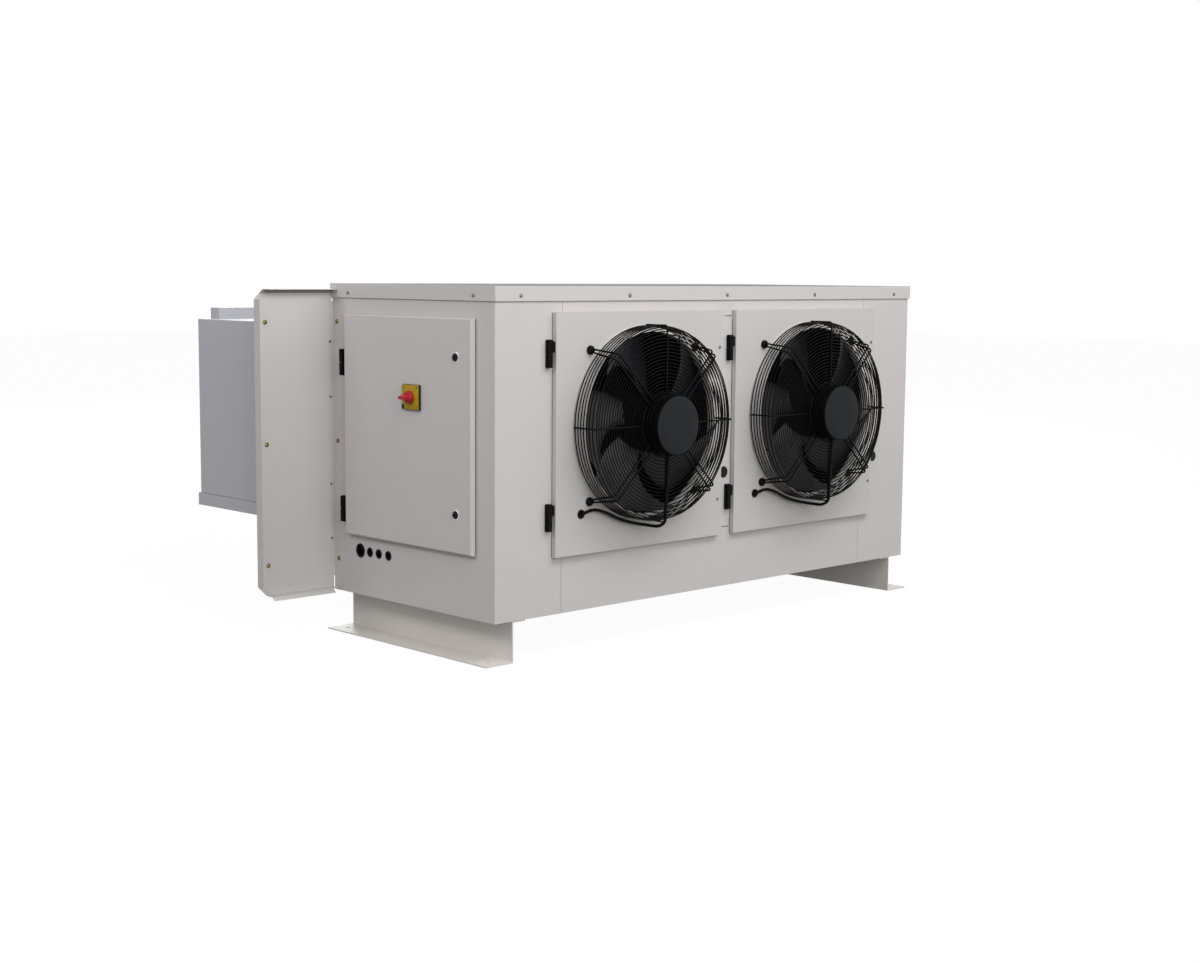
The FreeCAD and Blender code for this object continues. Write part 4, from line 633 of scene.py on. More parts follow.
def bent_wire(points: Sequence[Sequence[float]], radius: float) -> bpy.types.Object:
    """Round wire along a smooth path that rounds its corners.

    Args:
        points: The path's control points.
        radius: The wire's radius.

    Returns:
        The wire as a mesh.
    """
    deselect()
    path = bpy.data.curves.new("wire", "CURVE")
    path.dimensions = "3D"
    path.bevel_depth = radius
    path.bevel_resolution = 2
    path.resolution_u = 5
    path.use_fill_caps = True
    spline = path.splines.new("NURBS")
    spline.points.add(len(points) - 1)
    for place, point in zip(points, spline.points):
        point.co = (*place, 1.0)
    spline.order_u = 3
    spline.use_endpoint_u = True
    piece = bpy.data.objects.new("wire", path)
    bpy.context.scene.collection.objects.link(piece)
    select(piece)
    bpy.ops.object.convert(target="MESH")
    return bpy.context.object


def copied(piece: bpy.types.Object, matrix: Matrix) -> bpy.types.Object:
    """A copy of a piece with its own mesh, turned and moved.

    Args:
        piece: The piece to copy.
        matrix: The turn and shift.

    Returns:
        The copy.
    """
    twin = piece.copy()
    twin.data = piece.data.copy()
    bpy.context.scene.collection.objects.link(twin)
    twin.data.transform(matrix)
    return twin


def joined(name: str, pieces: Sequence[bpy.types.Object]) -> bpy.types.Object:
    """One piece from several.

    Args:
        name: The name of the whole.
        pieces: The pieces, which become one.

    Returns:
        The whole piece.
    """
    select(*pieces)
    bpy.ops.object.join()
    piece = bpy.context.object
    piece.name = name
    return piece


def dress(piece: bpy.types.Object, finish: Finish, body: str, nodes: Sequence[str] = (),
          station: Station | None = None) -> bpy.types.Object:
    """Puts a finished piece in its place, gives it its finish and lets it ride.

    Args:
        piece: The piece, in its own or the unit's frame.
        finish: Its finish.
        body: The body that carries it.
        nodes: The solids that it stands for.
        station: Where its own frame sits, if it has one.

    Returns:
        The same piece.
    """
    if station:
        piece.data.transform(station.matrix())
    select(piece)
    bpy.ops.object.shade_smooth_by_angle(angle=SHARP)
    piece.data.materials.append(finish.material())
    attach(piece, body)
    if nodes:
        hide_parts(*nodes)
    LOG.info("%s rides on %s", piece.name, body)
    return piece


class Side(Enum):
    """A face of a part's own box: its axis, and whether it is the high one."""

    LEFT = (0, 0)
    RIGHT = (0, 1)
    FRONT = (1, 0)
    BACK = (1, 1)
    BOTTOM = (2, 0)
    TOP = (2, 1)


def merged(node: str) -> bpy.types.Object:
    """A copy of a part's mesh with its loose triangles merged into faces.

    Args:
        node: The part.

    Returns:
        The copy, with no material.
    """
    piece = bpy.data.objects.new(node + "_sheet", bpy.data.objects[node].data.copy())
    bpy.context.scene.collection.objects.link(piece)
    piece.data.materials.clear()
    select(piece)
    bpy.ops.mesh.customdata_custom_splitnormals_clear()
    edit(piece, "EDGE")
    bpy.ops.mesh.remove_doubles(threshold=WELD)
    bpy.ops.mesh.dissolve_limited(angle_limit=math.radians(0.5))
    bpy.ops.object.mode_set(mode="OBJECT")
    return piece


@dataclass
class Sheet:
    """A folded sheet-metal part.

    Attributes:
        node: The part's name in the frame.
        body: The body that carries it.
        finish: Its finish.
        folds: Pairs of faces of its box that meet in a fold.
        radius: Outer radius of a fold.
        edge: Rounding of every other edge by its coat.
        flat: Faces larger than this, in square metres, are flat sheet and are shaded flat.
    """

    node: str
    body: str
    finish: Finish
    folds: Sequence[tuple[Side, Side]] = ()
    radius: float = 2.2 * MM
    edge: float = 0.35 * MM
    flat: float = 4e-4

    def round_folds(self, piece: bpy.types.Object) -> None:
        """Rounds the edges that lie where two named faces of the part's box meet.

        Args:
            piece: The part's own copy.
        """
        box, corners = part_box(self.node), piece.data.vertices
        for pair in self.folds:
            planes = [(side.value[0], box[side.value[1]][side.value[0]]) for side in pair]
            pick(piece, "EDGE", lambda line: all(abs(corners[v].co[axis] - value) < WELD
                                                 for v in line.vertices for axis, value in planes))
            bpy.ops.mesh.bevel(offset=self.radius, segments=3, affect="EDGES")
            bpy.ops.object.mode_set(mode="OBJECT")

    def dress(self) -> bpy.types.Object:
        """Builds the piece and shows it in place of the part.

        Returns:
            The piece.
        """
        piece = merged(self.node)
        self.round_folds(piece)
        modify(piece, "BEVEL", {"width": self.edge, "segments": 2, "limit_method": "ANGLE",
                                "angle_limit": math.radians(50)})
        dress(piece, self.finish, self.body, [self.node])
        for face in piece.data.polygons:
            face.use_smooth = face.area < self.flat
        return piece


def solids(node: str) -> list[tuple[Vector, Vector]]:
    """Measures the separate solids of one part.

    Args:
        node: The part.

    Returns:
        The lowest and the highest corner of each solid, in metres.
    """
    select(merged(node))
    bpy.ops.mesh.separate(type="LOOSE")
    boxes = []
    for loose in list(bpy.context.selected_objects):
        corners = [vertex.co for vertex in loose.data.vertices]
        boxes.append((Vector(map(min, zip(*corners))), Vector(map(max, zip(*corners)))))
        discard(loose)
    return boxes


@dataclass(frozen=True)
class Lamp:
    """A large soft lamp that faces the middle of the unit.

    Attributes:
        name: Its name.
        place: Its place in metres.
        width: Its width in metres.
        height: Its height in metres.
        watts: Its power.
        target: The place that it faces.
    """

    name: str
    place: tuple[float, float, float]
    width: float
    height: float
    watts: float
    target: tuple[float, float, float] = (0.0, 0.0, 0.5)

    def hang(self) -> None:
        """Creates the lamp and turns it to the unit."""
        data = bpy.data.lights.new(self.name, "AREA")
        data.energy = self.watts
        data.shape = "RECTANGLE"
        data.size, data.size_y = self.width, self.height
        lamp = bpy.data.objects.new(self.name, data)
        lamp.location = self.place
        lamp.rotation_mode = "QUATERNION"
        lamp.rotation_quaternion = (Vector(self.place) - Vector(self.target)).to_track_quat("Z", "Y")
        lamp.visible_camera = False
        bpy.context.scene.collection.objects.link(lamp)


@dataclass
class Studio:
    """The photographer's place and light.

    Attributes:
        place: The camera's place in metres.
        yaw: Its turn from the front's own direction towards the right, in radians.
        pitch: Its tilt downwards.
        roll: Its turn about its own axis.
        lens: Its focal length in millimetres.
        sensor: Width of its frame in millimetres.
        far: How far it sees.
        ambient: Light from all round.
        paper: Grey level of the floor as the unit's light meets it.
        glow: Brightness of the floor as it is seen.
        shade: What the lamps add to that, which a shadow takes away.
        lamps: A wide lamp far in front, a little to the left, strips above the front and the left side, and a wide
            lamp behind the right end.
    """

    place: tuple[float, float, float] = (-3.405888, -3.37974, 0.909048)
    yaw: float = 0.7681
    pitch: float = 0.1172
    roll: float = 0.008
    lens: float = 53.068
    sensor: float = 36.0
    far: float = 60.0
    ambient: float = 0.3
    paper: float = 0.15
    glow: float = 0.96
    shade: float = 0.06
    lamps: Sequence[Lamp] = (
        Lamp("front", (-2.4, -7.5, 2.9), width=5.0, height=5.0, watts=250.0),
        Lamp("overhead", (0.0, -2.0, 2.6), width=4.0, height=1.0, watts=55.0),
        Lamp("left", (-3.4, 0.4, 2.6), width=3.0, height=1.0, watts=42.0),
        Lamp("rear", (4.5, 6.0, 2.9), width=4.0, height=4.0, watts=180.0))

    def camera(self) -> None:
        """Creates the camera."""
        forward = Vector((math.sin(self.yaw) * math.cos(self.pitch), math.cos(self.yaw) * math.cos(self.pitch),
                          -math.sin(self.pitch)))
        level = Vector((math.cos(self.yaw), -math.sin(self.yaw), 0.0))
        upright = level.cross(forward)
        right = math.cos(self.roll) * level + math.sin(self.roll) * upright
        up = math.cos(self.roll) * upright - math.sin(self.roll) * level
        data = bpy.data.cameras.new("camera")
        data.lens = self.lens
        data.sensor_width = self.sensor
        data.sensor_fit = "HORIZONTAL"
        data.clip_end = self.far
        camera = bpy.data.objects.new("camera", data)
        camera.matrix_world = Matrix.Translation(self.place) @ Matrix((right, up, -forward)).transposed().to_4x4()
        bpy.context.scene.collection.objects.link(camera)
        bpy.context.scene.camera = camera

    def seen_directly(self, tree: bpy.types.NodeTree) -> bpy.types.NodeSocket:
        """Tells the rays that show the background to the eye, straight, mirrored or through glass.

        Args:
            tree: The node tree that asks.

        Returns:
            A value that is 1 for such rays and 0 for the others.
        """
        path = add_node(tree, "ShaderNodeLightPath")
        mirrored = add_node(tree, "ShaderNodeMath", {"operation": "MAXIMUM"},
                            {0: path.outputs["Is Glossy Ray"], 1: path.outputs["Is Transmission Ray"]})
        return add_node(tree, "ShaderNodeMath", {"operation": "MAXIMUM"},
                        {0: path.outputs["Is Camera Ray"], 1: mirrored.outputs[0]}).outputs[0]

    def surroundings(self) -> None:
        """White all round, dimmer as a light than it looks."""
        world = bpy.data.worlds.new("studio")
        world.use_nodes = True
        bpy.context.scene.world = world
        tree = world.node_tree
        strength = add_node(tree, "ShaderNodeMix", {"data_type": "FLOAT", 2: self.ambient, 3: 1.0},
                            {0: self.seen_directly(tree)})
        background = tree.nodes["Background"]
        background.inputs["Color"].default_value = neutral(1.0)
        tree.links.new(strength.outputs[0], background.inputs["Strength"])

    def floor(self) -> None:
        """White floor that keeps a faint shadow under the unit."""
        deselect()
        bpy.ops.mesh.primitive_grid_add(x_subdivisions=8, y_subdivisions=8, size=40.0, location=(0, 0, -MM))
        floor = settle("floor")
        paper = bpy.data.materials.new("paper_floor")
        paper.use_nodes = True
        tree = paper.node_tree
        lit = tree.nodes["Principled BSDF"]
        lit.inputs["Base Color"].default_value = neutral(self.paper)
        lit.inputs["Roughness"].default_value = 1.0
        lit.inputs["Specular IOR Level"].default_value = 0.0
        glow = add_node(tree, "ShaderNodeEmission", {"Strength": self.glow})
        shade = add_node(tree, "ShaderNodeBsdfDiffuse", {"Color": neutral(self.shade)})
        shown = add_node(tree, "ShaderNodeAddShader", None, {0: glow.outputs[0], 1: shade.outputs[0]})
        either = add_node(tree, "ShaderNodeMixShader", None,
                          {0: self.seen_directly(tree), 1: lit.outputs[0], 2: shown.outputs[0]})
        tree.links.new(either.outputs[0], tree.nodes["Material Output"].inputs["Surface"])
        floor.data.materials.append(paper)

    def build(self) -> None:
        """Sets up the whole studio."""
        self.camera()
        self.surroundings()
        for lamp in self.lamps:
            lamp.hang()
        self.floor()
        bpy.context.scene.view_settings.view_transform = "Standard"


@dataclass
class FanGuard:
    """Basket guard welded from round wire; double wires on the diagonals carry the motor.

    Attributes:
        radius: Radius of the basket.
        stand: Height of its last ring above the plate.
        front: Height of its flat front.
        motor: Radius of the motor that it holds.
        foot_circle: Radius of the circle of its feet.
        side_rings: Rings down its side.
        front_rings: Rings over its front.
        wire: Radius of the ring wire.
        arm: Radius of the arm wire.
        arm_gap: Distance between the two wires of an arm.
        foot: Radius of a foot.
        drawn: How far the last side ring is drawn in.
        hub_gap: Distance from the motor to the first ring of the front.
        rim_gap: Distance from the last ring of the front to the side.
        bend: How far from its corner a spoke starts to bend.
        spoke_share: Radius of a spoke as a share of the ring wire's.
    """

    radius: float = 237.0 * MM
    stand: float = 9.0 * MM
    front: float = 76.0 * MM
    motor: float = 73.0 * MM
    foot_circle: float = 257.0 * MM
    side_rings: int = 8
    front_rings: int = 18
    wire: float = 1.55 * MM
    arm: float = 2.3 * MM
    arm_gap: float = 16.0 * MM
    foot: float = 11.0 * MM
    drawn: float = 6.0 * MM
    hub_gap: float = 9.0 * MM
    rim_gap: float = 12.0 * MM
    bend: float = 12.0 * MM
    spoke_share: float = 1.35

    def rings(self) -> list[bpy.types.Object]:
        """Welds rings down the side, drawn in a little towards the front, and concentric rings over the front.

        Returns:
            The rings.
        """
        pieces = []
        for n in range(self.side_rings):
            share = n / (self.side_rings - 1)
            inward = self.drawn * max(0.0, share - 0.75) * 4
            height = self.stand + (self.front - self.stand) * share
            pieces.append(hoop(self.radius - inward * share, height, self.wire))
        inner, outer = self.motor + self.hub_gap, self.radius - self.rim_gap
        for n in range(self.front_rings):
            radius = inner + (outer - inner) * n / (self.front_rings - 1)
            pieces.append(hoop(radius, self.front + 1.5 * MM, self.wire))
        pieces.append(hoop(self.motor + 4.0 * MM, self.front + 2.0 * MM, self.arm))
        return pieces

    def spoke(self) -> bpy.types.Object:
        """Bends a single radial wire over the front and down the side.

        Returns:
            The wire along X.
        """
        top = self.front + 4.0 * MM
        edge = self.radius + self.wire
        return bent_wire([(self.motor + 5.0 * MM, 0, top), (edge - self.bend, 0, top), (edge + 1.0 * MM, 0, top),
                          (edge + 1.0 * MM, 0, self.front - self.bend), (edge + 1.0 * MM, 0, self.stand)],
                         self.wire * self.spoke_share)

    def arm_wires(self) -> list[bpy.types.Object]:
        """Bends the two wires of one arm, from the motor over the front and down to the foot.

        Returns:
            The wires along X.
        """
        top = self.front + 5.5 * MM
        pieces = []
        for side in (-self.arm_gap / 2, self.arm_gap / 2):
            pieces.append(bent_wire([(self.motor + 1.0 * MM, side, top), (self.radius - 20.0 * MM, side, top),
                                     (self.radius + 3.0 * MM, side, top),
                                     (self.radius + 8.0 * MM, side * 0.9, self.front * 0.6),
                                     (self.foot_circle - 1.0 * MM, side * 0.5, 6.0 * MM)], self.arm))
        return pieces

    def foot_button(self) -> bpy.types.Object:
        """Turns a rubber-capped foot with a domed top.

        Returns:
            The foot, at its place on the X axis.
        """
        r = self.foot
        piece = turned("foot", [(r * 0.9, 0), (r, 1.0 * MM), (r, 5.0 * MM), (r * 0.9, 7.0 * MM), (r * 0.6, 8.8 * MM),
                                (r * 0.1, 9.4 * MM)], segments=24)
        piece.data.transform(Matrix.Translation((self.foot_circle, 0, 0)))
        return piece

    def build(self) -> bpy.types.Object:
        """Builds one whole guard about its own axis, its plate at height zero.

        Returns:
            The guard.
        """
        pieces = self.rings()
        spoke = self.spoke()
        arms = self.arm_wires() + [self.foot_button()]
        for quarter in range(4):
            pieces.append(copied(spoke, about_z(90 * quarter)))
            pieces += [copied(piece, about_z(90 * quarter + 45)) for piece in arms]
        discard(spoke, *arms)
        return joined("guard", pieces)


@dataclass
class FanMotor:
    """External-rotor fan motor: black can with a flat cap.

    Attributes:
        radius: Radius of the can.
        back: Height of its back end above the plate.
        front: Height of its cap.
        gland: Where the cable leaves its underside: across and above the plate.
    """

    radius: float = 73.0 * MM
    back: float = 39.0 * MM
    front: float = 122.0 * MM
    gland: tuple[float, float] = (-8.0 * MM, 96.0 * MM)

    def can(self) -> bpy.types.Object:
        """Turns the can, with two shallow grooves behind its cap.

        Returns:
            The can about its own axis.
        """
        r, low, high = self.radius, self.back, self.front
        profile = [(r * 0.12, low), (r - 5 * MM, low), (r - 1.5 * MM, low + 1 * MM), (r, low + 5 * MM)]
        for start in (0.55, 0.68):
            z = low + (high - low) * start
            profile += [(r, z), (r - 1 * MM, z + 0.8 * MM), (r - 1 * MM, z + 2.4 * MM), (r, z + 3.2 * MM)]
        profile += [(r, high - 3 * MM), (r - 0.6 * MM, high - 1.2 * MM), (r - 1.4 * MM, high - 0.8 * MM),
                    (r - 2 * MM, high - 0.8 * MM), (r - 2.1 * MM, high - 2 * MM), (r * 0.12, high - 2 * MM)]
        return turned("can", profile, segments=96)

    def cable_gland(self) -> bpy.types.Object:
        """Turns the ribbed gland under the can from which the cable comes.

        Returns:
            The gland at its place on the can.
        """
        across, height = self.gland
        r = 7.0 * MM
        piece = turned("gland", [(r * 0.6, 0), (r * 0.85, 0.6 * MM), (r * 0.85, 2.0 * MM), (r, 2.6 * MM),
                                 (r, 4.2 * MM), (r * 0.85, 4.8 * MM), (r * 0.9, 12.0 * MM),
                                 (r * 0.2, 12.0 * MM)], segments=24)
        upwards = Matrix.Translation((across, -self.radius - 3.6 * MM, height)) @ Matrix.Rotation(-math.pi / 2, 4, "X")
        piece.data.transform(upwards)
        return piece

    def cap(self) -> bpy.types.Object:
        """Turns the flat cap set into the can's end.

        Returns:
            The cap.
        """
        r, high = self.radius - 2.2 * MM, self.front
        return turned("cap", [(r * 0.1, high - 2.4 * MM), (r, high - 2.4 * MM), (r, high - 1.0 * MM),
                              (r - 1.0 * MM, high - 0.6 * MM), (r * 0.5, high - 0.5 * MM), (r * 0.1, high - 0.5 * MM)],
                      segments=96)


@dataclass
class CondenserFan:
    """One condenser fan on its door: guard, motor and impeller.

    Attributes:
        side: Which fan it is.
        axis: Where its axis leaves the plate of its door.
        guard: Its guard.
        motor: Its motor.
    """

    side: str
    axis: Vector
    guard: FanGuard = field(default_factory=FanGuard)
    motor: FanMotor = field(default_factory=FanMotor)

    def dress(self) -> None:
        """Builds the fan's pieces and lets them ride."""
        door, motor = f"fan_door_{self.side}", f"fan_motor_{self.side}"
        place = Station(*self.axis, Facing.FRONT)
        dress(self.guard.build(), WIRE, door, [f"fan_guard_{self.side}"], place).name = f"guard_{self.side}"
        can = dress(joined("can", [self.motor.can(), self.motor.cable_gland()]), MOTOR, door, [motor], place)
        can.name = f"motor_can_{self.side}"
        dress(self.motor.cap(), MOTOR_CAP, door, station=place).name = f"motor_cap_{self.side}"
        impeller = Sheet(f"fan_impeller_{self.side}", f"fan_rotor_{self.side}", BLADE, edge=0.8 * MM, flat=1.0).dress()
        darken_hub(impeller, place, self.motor.radius)


def darken_hub(impeller: bpy.types.Object, place: Station, radius: float) -> None:
    """Gives the rotor between the blades the motor's own black.

    Args:
        impeller: The impeller.
        place: Its axis.
        radius: Radius of the rotor.
    """
    impeller.data.materials.append(MOTOR.material())
    for face in impeller.data.polygons:
        across, up = face.center.x - place.x, face.center.z - place.z
        if math.hypot(across, up) < radius:
            face.material_index = 1


@dataclass
class CoolerFans:
    """The three fans of the evaporator, with one part for all guards and one for all motors.

    Attributes:
        axes: Where the axis of each moving body leaves its plate, by the body's name.
        guard: The guard that they share.
        motor: The motor that they share.
        count: How many fans there are.
    """

    axes: dict[str, Vector]
    guard: FanGuard = field(default_factory=lambda: FanGuard(
        radius=189.0 * MM, stand=7.0 * MM, front=55.0 * MM, motor=55.0 * MM, foot_circle=204.0 * MM, side_rings=7,
        front_rings=14, arm_gap=14.0 * MM))
    motor: FanMotor = field(default_factory=lambda: FanMotor(radius=55.0 * MM, back=37.0 * MM, front=75.0 * MM))
    count: int = 3

    def dress(self) -> None:
        """Builds the three guards, motors and impellers."""
        guard, can, cap = self.guard.build(), self.motor.can(), self.motor.cap()
        guards, cans, caps = [], [], []
        for n in range(self.count):
            name, rotor = f"evaporator_impeller_{n + 1}", f"evaporator_rotor_{n + 1}"
            place = Station(*self.axes[rotor], Facing.ROOM)
            guards.append(copied(guard, place.matrix()))
            cans.append(copied(can, place.matrix()))
            caps.append(copied(cap, place.matrix()))
            impeller = Sheet(name, rotor, BLADE, edge=0.7 * MM, flat=1.0).dress()
            darken_hub(impeller, place, self.motor.radius)
        discard(guard, can, cap)
        dress(joined("evaporator_guard_wires", guards), WIRE, "chassis", ["evaporator_guards"])
        dress(joined("evaporator_motor_cans", cans), MOTOR, "chassis", ["evaporator_motors"])
        dress(joined("evaporator_motor_caps", caps), MOTOR_CAP, "chassis")


@dataclass
class Hinges:
    """Lift-off hinges of grained polyamide: two equal grooved blocks, the upper one with a tab to the door.

    Attributes:
        leaves: The part with the door halves of one door, and the body that carries them.
        bases: The part with all the fixed halves.
        rounding: Radius of the block edges.
        groove: Depth and width of a groove.
        grooves: Grooves on one block.
        inset: How much lower than its block the tab is at each end.
        tab: Thickness of the tab.
        trim: How much narrower the blocks are away from the door, where a turning block would cut its panel.
    """

    leaves: dict[str, str] = field(default_factory=lambda: {
        "fan_door_hinges_left": "fan_door_left", "fan_door_hinges_right": "fan_door_right",
        "electrical_door_hinges": "electrical_door"})
    bases: str = "hinge_bases"
    rounding: float = 2.0 * MM
    groove: float = 0.7 * MM
    grooves: int = 3
    inset: float = 4.0 * MM
    tab: float = 8.0 * MM
    trim: float = 5.0 * MM

    def grooved(self, low: Vector, high: Vector) -> bpy.types.Object:
        """A rounded block with shallow grooves round it.

        Args:
            low: Its lowest corner.
            high: Its highest corner.

        Returns:
            The block.
        """
        piece = block("hinge_half", low, high, self.rounding, segments=3)
        d = self.groove
        side = Vector((d, d, 0))
        for n in range(self.grooves):
            height = low.z + (high.z - low.z) * (n + 1) / (self.grooves + 1)
            ring = block("ring", (low.x - d, low.y - d, height - d / 2), (high.x + d, high.y + d, height + d / 2))
            cut(ring, block("core", low + side, high - side))
            cut(piece, ring)
        return piece

    def door_half(self, leaf: tuple[Vector, Vector], base: tuple[Vector, Vector]) -> bpy.types.Object:
        """The upper block, as wide as the fixed one below it, with its tab.

        Args:
            leaf: Box of the door half.
            base: Box of the fixed half.

        Returns:
            The door half.
        """
        low, high = leaf[0].copy(), leaf[1].copy()
        across = 0 if high.x - low.x > high.y - low.y else 1
        tab_low, tab_high = low + Vector((0, 0, self.inset)), high - Vector((0, 0, self.inset))
        middle = (low[1 - across] + high[1 - across]) / 2
        tab_low[1 - across], tab_high[1 - across] = middle - self.tab / 2, middle + self.tab / 2
        if high[across] > base[1][across]:
            tab_low[across] = base[0][across] + 1.0 * MM
        else:
            tab_high[across] = base[1][across] - 1.0 * MM
        low[across], high[across] = base[0][across], base[1][across]
        return joined("door_half", [self.grooved(low, high), block("tab", tab_low, tab_high, bevel=1.0 * MM)])

    def dress(self) -> None:
        """Builds the fixed halves as one piece and the door halves as one piece for each door."""
        bases = solids(self.bases)
        for low, high in bases:
            if high.y - low.y > high.x - low.x:
                high.y -= self.trim
            else:
                low.x += self.trim
        height = 0.0
        for node, body in self.leaves.items():
            halves = []
            for low, high in solids(node):
                base = min(bases, key=lambda box: (box[0] + box[1] - low - high).length)
                halves.append(self.door_half((low, high), base))
                height = high.z - low.z
            dress(joined(node + "_blocks", halves), HINGE, body, [node])
        fixed = [self.grooved(low, Vector((high.x, high.y, low.z + height))) for low, high in bases]
        dress(joined("hinge_base_blocks", fixed), HINGE, "chassis", [self.bases])


@dataclass
class Screws:
    """Domed screws with a cross recess, one for each solid of a part.

    Attributes:
        node: The part that holds them.
        body: The body that carries them.
        finish: Their finish.
        small: Finish of small heads, where it differs.
        small_radius: Heads of a smaller radius than this are small.
        recess: Width of the recess as a share of the head's radius.
        rise: Height of the head as a share of its radius.
        tilt: Turn of the recess in degrees.
    """

    node: str
    body: str
    finish: Finish
    small: Finish | None = None
    small_radius: float = 4.0 * MM
    recess: float = 0.22
    rise: float = 0.6
    tilt: float = 20.0

    def head(self, radius: float, reach: float) -> bpy.types.Object:
        """One screw about Z, its seat at height zero.

        Args:
            radius: Radius of its washer head.
            reach: Length of its shank behind the seat.

        Returns:
            The screw.
        """
        r = radius
        profile = [(r * 0.05, -0.2 * MM), (r * 0.96, -0.2 * MM), (r, 0.1 * r), (r * 0.97, 0.2 * r), (r * 0.7, 0.26 * r),
                   (r * 0.64, 0.42 * r), (r * 0.42, 0.56 * r), (r * 0.05, self.rise * r)]
        piece = turned("screw", profile, segments=24)
        for turn in (0, 90):
            slot = block("slot", (-r * 0.42, -r * self.recess / 2, r * 0.3), (r * 0.42, r * self.recess / 2, r))
            slot.data.transform(about_z(turn + self.tilt))
            cut(piece, slot)
        if reach > radius:
            shank = turned("shank", [(radius * 0.04, -reach), (radius * 0.58, -reach + radius * 0.58),
                                     (radius * 0.58, -0.1 * MM), (radius * 0.04, -0.1 * MM)], segments=16)
            piece = joined("screw", [piece, shank])
        return piece

    def dress(self) -> None:
        """Places a screw at each solid of the part."""
        made: dict[tuple[int, int], bpy.types.Object] = {}
        pieces, fine = [], []
        for low, high in solids(self.node):
            size, middle = high - low, (low + high) / 2
            axis = min(range(3), key=lambda a: abs(size[(a + 1) % 3] - size[(a + 2) % 3]))
            radius, length = size[(axis + 1) % 3] / 2, size[axis]
            reach = max(0.0, length - radius * self.rise)
            if axis == 0:
                facing = Facing.LEFT if middle.x < 0 else Facing.RIGHT
                seat = (high.x if middle.x < 0 else low.x, middle.y, middle.z)
            else:
                facing = Facing.FRONT
                seat = (middle.x, low.y + radius * self.rise, middle.z)
            key = (round(radius / MM * 10), round(reach / MM))
            if key not in made:
                made[key] = self.head(radius, reach)
            group = fine if self.small and radius < self.small_radius else pieces
            group.append(copied(made[key], Station(*seat, facing).matrix()))
        discard(*made.values())
        if fine:
            dress(joined(self.node + "_small_heads", fine), self.small, self.body)
        dress(joined(self.node + "_heads", pieces), self.finish, self.body, [self.node])


@dataclass
class Locks:
    """Quarter-turn locks: bright collars with dark triangular key inserts.

    Attributes:
        bezel: The part with all the collars.
        inserts: The parts that turn, each on the body of its own name.
        proud: Height of a collar above the door.
        bore: Radius of its bore as a share of its own.
    """

    bezel: str = "lock_bezels"
    inserts: Sequence[str] = ("door_lock_upper", "door_lock_lower")
    proud: float = 1.4 * MM
    bore: float = 0.69

    def collar(self, radius: float, inner: float) -> bpy.types.Object:
        """One collar with a rounded rim.

        Args:
            radius: Its outer radius.
            inner: Radius of its bore.

        Returns:
            The collar.
        """
        h = self.proud
        return turned("collar", [(inner, 0), (radius, 0), (radius, h * 0.3), (radius - 0.4 * MM, h * 0.7),
                                 (radius - 1.2 * MM, h), (inner + 0.4 * MM, h), (inner, h * 0.8)], closed=True)

    def dress(self) -> None:
        """Builds the collars and the inserts."""
        boxes = solids(self.bezel)
        radius = (boxes[0][1].z - boxes[0][0].z) / 2
        collar = self.collar(radius, radius * self.bore)
        places = [Station(high.x, (low.y + high.y) / 2, (low.z + high.z) / 2, Facing.LEFT) for low, high in boxes]
        pieces = [copied(collar, place.matrix()) for place in places]
        discard(collar)
        dress(joined("lock_collars", pieces), CHROME, "electrical_door", [self.bezel])
        for node in self.inserts:
            Sheet(node, node, LOCK_METAL, edge=0.4 * MM).dress()


